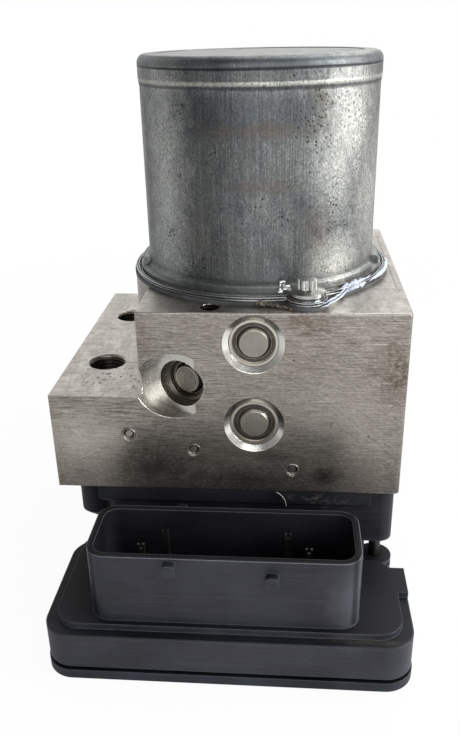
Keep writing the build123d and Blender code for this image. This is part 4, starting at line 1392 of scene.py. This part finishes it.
def bead(radius, height, thick, start, end, rough):
    """A torn strand of sealant round the motor, thin at both ends; angles in degrees."""
    bm = round_section(radius, height, thick / 2)
    swept(bm, radians(end - start), int((end - start) * 1.6))
    turn = Matrix.Rotation(radians(start), 3, "Z")
    bmesh.ops.rotate(bm, cent=(0, 0, 0), matrix=turn, verts=bm.verts)
    middle, half = (start + end) / 2, (end - start) / 2
    for vertex in bm.verts:
        angle = atan2(vertex.co.y, vertex.co.x)
        core = Vector((radius * cos(angle), radius * sin(angle), height))
        reach = abs(degrees(angle) - middle) / half
        # Past the round rim the strand runs out along the side of the bolt ear
        flare = 0.5 * max(0.0, -50 - degrees(angle))
        outward = Vector((flare * cos(angle), flare * sin(angle), 0))
        vertex.co = core + outward + (vertex.co - core) * max(0.15, 1 - reach**4)
    roughened(bm, 1.5, rough)
    return bm


def crumb(size, flat, seed):
    """A small lump of packed dirt."""
    bm = bmesh.new()
    bmesh.ops.create_icosphere(bm, subdivisions=2, radius=size)
    bmesh.ops.scale(bm, vec=(1.0, 1.0, flat), verts=bm.verts)
    bmesh.ops.translate(bm, vec=(seed * 7, 0, 0), verts=bm.verts)
    roughened(bm, size * 0.9, size * 0.45, 0.6)
    bmesh.ops.translate(bm, vec=(-seed * 7, 0, 0), verts=bm.verts)
    return bm


class MODULATOR_OT_motor(bpy.types.Operator):
    """Finish the pump motor, its flange, seal and bolts"""

    bl_idname = "modulator.motor"
    bl_label = "Finish the pump motor"

    def execute(self, context):
        finish_node("motor_can", plated_can_steel(context.scene.modulator_colours.can))
        finish_node("motor_flange", stamped_flange_steel("55595c"))
        finish_plain_nodes("motor")
        copper = wound_copper("copper_wire_enamelled")
        for name in ("armature_winding", "valve_coils", "motor_lead", "commutator"):
            finish_node(name, copper)
        return {"FINISHED"}


class MODULATOR_OT_sealant(bpy.types.Operator):
    """Squeeze sealant out past the flange on the right, pulled apart in strands"""

    bl_idname = "modulator.sealant"
    bl_label = "Squeeze out the sealant"

    def execute(self, context):
        width = context.scene.modulator_sizes.sealant_width / MM
        foot = flange_low.z
        rim = 43.3
        bm = bmesh.new()
        for radius, height, thick, start, end, rough in (
            (rim + 0.4, foot + 0.2, 0.7, -68, -44, 0.3),
            (rim - 0.4, foot + 0.8, 0.6, -67, -46, 0.4),
            (rim - 0.7, foot + 1.4, 1.4, -51, -36, 1.1),
            (rim + 0.3, foot + 0.8, 1.0, -50, -38, 0.9),
            (rim - 1.0, foot + 1.6, 0.5, -40, -30, 0.5),
            (rim + 0.1, foot + 0.8, 1.25, -34, 6, 0.3),
        ):
            strand = bead(radius, height, thick * width, start, end, rough)
            gather(bm, strand, Matrix.Translation((motor_x, motor_y, 0)))
        settle(bm, "sealant_bead", torn_silicone(context.scene.modulator_colours.sealant))
        return {"FINISHED"}


class MODULATOR_OT_lug(bpy.types.Operator):
    """Fold out the torn end of the crimp beside the front bolt"""

    bl_idname = "modulator.lug"
    bl_label = "Fold the crimp end"

    def execute(self, context):
        bm = bmesh.new()
        for across, out, up, size, lean in (
            (0.0, 40.4, 1.7, (1.9, 0.9, 3.4), 24),
            (1.3, 41.3, 1.1, (2.4, 0.8, 1.6), -38),
            (-0.8, 41.7, 0.4, (1.6, 2.2, 0.8), 20),
        ):
            part = bmesh.new()
            bmesh.ops.create_cube(part, size=1.0)
            bmesh.ops.scale(part, vec=size, verts=part.verts)
            bmesh.ops.bevel(
                part,
                geom=[*part.verts, *part.edges],
                offset=0.28,
                segments=2,
                profile=0.5,
                affect="EDGES",
                material=-1,
            )
            turn = Matrix.Rotation(radians(11.5), 4, "Z") @ Matrix.Rotation(radians(lean), 4, "X")
            angle = radians(-78.3) + across / out
            place = (motor_x + out * cos(angle), motor_y + out * sin(angle), flange_high.z + up)
            gather(bm, part, Matrix.Translation(place) @ turn)
        settle(bm, "crimp_lug", plain_finish("cold_rolled_steel_folded"))
        return {"FINISHED"}


class MODULATOR_OT_dirt(bpy.types.Operator):
    """Pack dirt in the corner between the gasket and the block, left of the front bolt"""

    bl_idname = "modulator.dirt"
    bl_label = "Pack the dirt"

    def execute(self, context):
        bm = bmesh.new()
        crumbs = 34
        for index in range(crumbs):
            share = index / (crumbs - 1)
            radius = 43.6 + 0.6 * sin(index * 2.4) + 4.6 * share**1.5
            angle = radians(-89 + 13 * share + 0.9 * cos(index * 1.7))
            size = 0.32 + 0.3 * abs(sin(index * 1.3))
            level = block_high.z + 0.25 + 1.1 * abs(cos(index * 0.9)) * (1 - share)
            place = (motor_x + radius * cos(angle), motor_y + radius * sin(angle), level)
            gather(bm, crumb(size, 0.7, index), Matrix.Translation(place))
        settle(bm, "packed_dirt", packed_dirt())
        return {"FINISHED"}


# ------------------------------------------------------------------ control unit


class MODULATOR_OT_control_unit(bpy.types.Operator):
    """Finish the control unit housing, its cover, board, contacts and screws"""

    bl_idname = "modulator.control_unit"
    bl_label = "Finish the control unit"

    def execute(self, context):
        colours = context.scene.modulator_colours
        for node, name, colour, wear_and_highlight, grey in (
            ("ecu_housing", "glass_filled_nylon_moulded", colours.housing, "2f3037", "3e3f46"),
            ("ecu_cover", "glass_filled_polyester_moulded", colours.cover, "282d38", "333843"),
        ):
            finish_node(node, moulded_nylon(name, colour, wear_and_highlight, grey))
        finish_plain_nodes("control_unit")
        return {"FINISHED"}


class MODULATOR_OT_fibre(bpy.types.Operator):
    """Lay a loose fibre on the tower under the block"""

    bl_idname = "modulator.fibre"
    bl_label = "Lay the loose fibre"

    def execute(self, context):
        width = context.scene.modulator_sizes.fibre_width / MM
        bm = swept(round_section(6.2, 0.0, width / 2, sides=6), radians(62), 30)
        roughened(bm, 3.0, 0.15, 0.2)
        place = Matrix.Translation((12.6, block_low.y - 0.2, 33.2))
        upright = Matrix.Rotation(pi / 2, 4, "X")
        bmesh.ops.transform(bm, matrix=place @ upright, verts=bm.verts)
        settle(bm, "loose_fibre", plain_finish("polyester_fibre_drawn"))
        return {"FINISHED"}


# ------------------------------------------------------------------ stage


CAMERA_PLACE = Vector((19.76, -238.76, 178.74)) * MM
CAMERA_YAW, CAMERA_PITCH, CAMERA_ROLL = radians(-4.99), radians(-24.29), radians(-1.3)
CAMERA_LENS = 37.44


class MODULATOR_OT_stage(bpy.types.Operator):
    """Make the pale floor, the soft light and the camera"""

    bl_idname = "modulator.stage"
    bl_label = "Make the stage"

    def execute(self, context):
        scene = context.scene
        scene.view_settings.view_transform = "Standard"
        self.camera(scene)
        self.floor(scene)
        self.light(scene)
        return {"FINISHED"}

    def camera(self, scene):
        """Camera at its measured place."""
        ahead = Vector((sin(CAMERA_YAW), cos(CAMERA_YAW), 0))
        forward = ahead * cos(CAMERA_PITCH) + Vector((0, 0, sin(CAMERA_PITCH)))
        level = Vector((cos(CAMERA_YAW), -sin(CAMERA_YAW), 0))
        upright = level.cross(forward)
        right = level * cos(CAMERA_ROLL) + upright * sin(CAMERA_ROLL)
        up = upright * cos(CAMERA_ROLL) - level * sin(CAMERA_ROLL)
        turn = Matrix((right, up, -forward)).transposed().to_4x4()
        data = bpy.data.cameras.new("camera")
        data.lens = CAMERA_LENS
        data.clip_start = 10 * MM
        data.clip_end = 20.0
        camera = bpy.data.objects.new("camera", data)
        scene.collection.objects.link(camera)
        camera.matrix_world = Matrix.Translation(CAMERA_PLACE) @ turn
        scene.camera = camera

    def floor(self, scene):
        """Floor that the camera sees as white, with the object's shadow kept faint."""
        bm = bmesh.new()
        bmesh.ops.create_grid(bm, x_segments=1, y_segments=1, size=3.0)
        data = bpy.data.meshes.new("floor")
        bm.to_mesh(data)
        bm.free()
        floor = bpy.data.objects.new("floor", data)
        scene.collection.objects.link(floor)
        material, tree, surface = shader("paper_sheet_white", 0.0, 0.9)
        surface.inputs["Base Color"].default_value = linear("c8c8c8")
        path = add(tree, "LightPath").node.outputs
        far = add(tree, "VectorMath", placed(tree), out="Value", operation="LENGTH")
        clear = add(tree, "MapRange", far, 0.12, 0.45, 0.95, 1.0)
        seen = join(
            tree,
            "MAXIMUM",
            join(tree, "MULTIPLY", path["Is Camera Ray"], clear),
            join(tree, "MULTIPLY", path["Is Glossy Ray"], 0.25),
        )
        white = add(tree, "Emission", Color=(1, 1, 1, 1), Strength=1.0)
        mixed = add(tree, "MixShader", seen, surface.outputs[0], white)
        tree.links.new(mixed, tree.nodes["Material Output"].inputs["Surface"])
        data.materials.append(material)

    def light(self, scene):
        """World light that is brighter above, behind and on the right, with large soft lamps."""
        world = bpy.data.worlds.new("studio")
        scene.world = world
        world.use_nodes = True
        tree = world.node_tree
        towards = add(tree, "SeparateXYZ", add(tree, "TexCoord", out="Generated")).node.outputs
        glow = add(tree, "MapRange", towards["Z"], 0.35, 0.9, 0.85, 0.5)
        glow = join(tree, "ADD", glow, add(tree, "MapRange", towards["Y"], -0.6, 0.8, -0.3, 0.7))
        glow = join(tree, "ADD", glow, add(tree, "MapRange", towards["X"], -0.3, 0.9, -0.1, 0.35))
        path = add(tree, "LightPath", out="Is Camera Ray")
        strength = add(tree, "Mix", path, None, join(tree, "MULTIPLY", glow, 0.75), 1.0)
        tree.links.new(strength, tree.nodes["Background"].inputs["Strength"])
        tree.nodes["Background"].inputs["Color"].default_value = (1, 1, 1, 1)
        for name, place, size, power in (
            ("lamp_above", (200, 160, 620), 0.45, 3.0),
            ("lamp_right", (560, -160, 300), 0.3, 4.5),
            ("lamp_front", (60, -700, 260), 0.45, 2.6),
        ):
            data = bpy.data.lights.new(name, "AREA")
            data.shape = "SQUARE"
            data.size = size
            data.energy = power
            lamp = bpy.data.objects.new(name, data)
            scene.collection.objects.link(lamp)
            lamp.location = Vector(place) * MM
            lamp.rotation_euler = (
                Vector((0, 20 * MM, 70 * MM)) - lamp.location
            ).to_track_quat("-Z", "Y").to_euler()


STEPS = (
    MODULATOR_OT_stage,
    MODULATOR_OT_block,
    MODULATOR_OT_plugs,
    MODULATOR_OT_threads,
    MODULATOR_OT_stakes,
    MODULATOR_OT_springs,
    MODULATOR_OT_motor,
    MODULATOR_OT_sealant,
    MODULATOR_OT_lug,
    MODULATOR_OT_dirt,
    MODULATOR_OT_control_unit,
    MODULATOR_OT_fibre,
)


class MODULATOR_PT_panel(bpy.types.Panel):
    """Sidebar panel that lists the steps"""

    bl_label = "Modulator"
    bl_idname = "MODULATOR_PT_panel"
    bl_space_type = "VIEW_3D"
    bl_region_type = "UI"
    bl_category = "Modulator"

    def draw(self, context):
        for step in STEPS:
            self.layout.operator(step.bl_idname)
        for group in (context.scene.modulator_sizes, context.scene.modulator_colours):
            for name in group.__annotations__:
                self.layout.prop(group, name)


CLASSES = (ModulatorSizes, ModulatorColours, *STEPS, MODULATOR_PT_panel)


def register():
    """Register the classes and hang the settings on the scene."""
    for each in CLASSES:
        bpy.utils.register_class(each)
    bpy.types.Scene.modulator_sizes = bpy.props.PointerProperty(type=ModulatorSizes)
    bpy.types.Scene.modulator_colours = bpy.props.PointerProperty(type=ModulatorColours)


def unregister():
    """Remove what register added."""
    del bpy.types.Scene.modulator_colours
    del bpy.types.Scene.modulator_sizes
    for each in reversed(CLASSES):
        bpy.utils.unregister_class(each)


def main():
    """Run every step in order."""
    register()
    for step in STEPS:
        group, name = step.bl_idname.split(".")
        getattr(getattr(bpy.ops, group), name)()


if __name__ == "__main__":
    main()
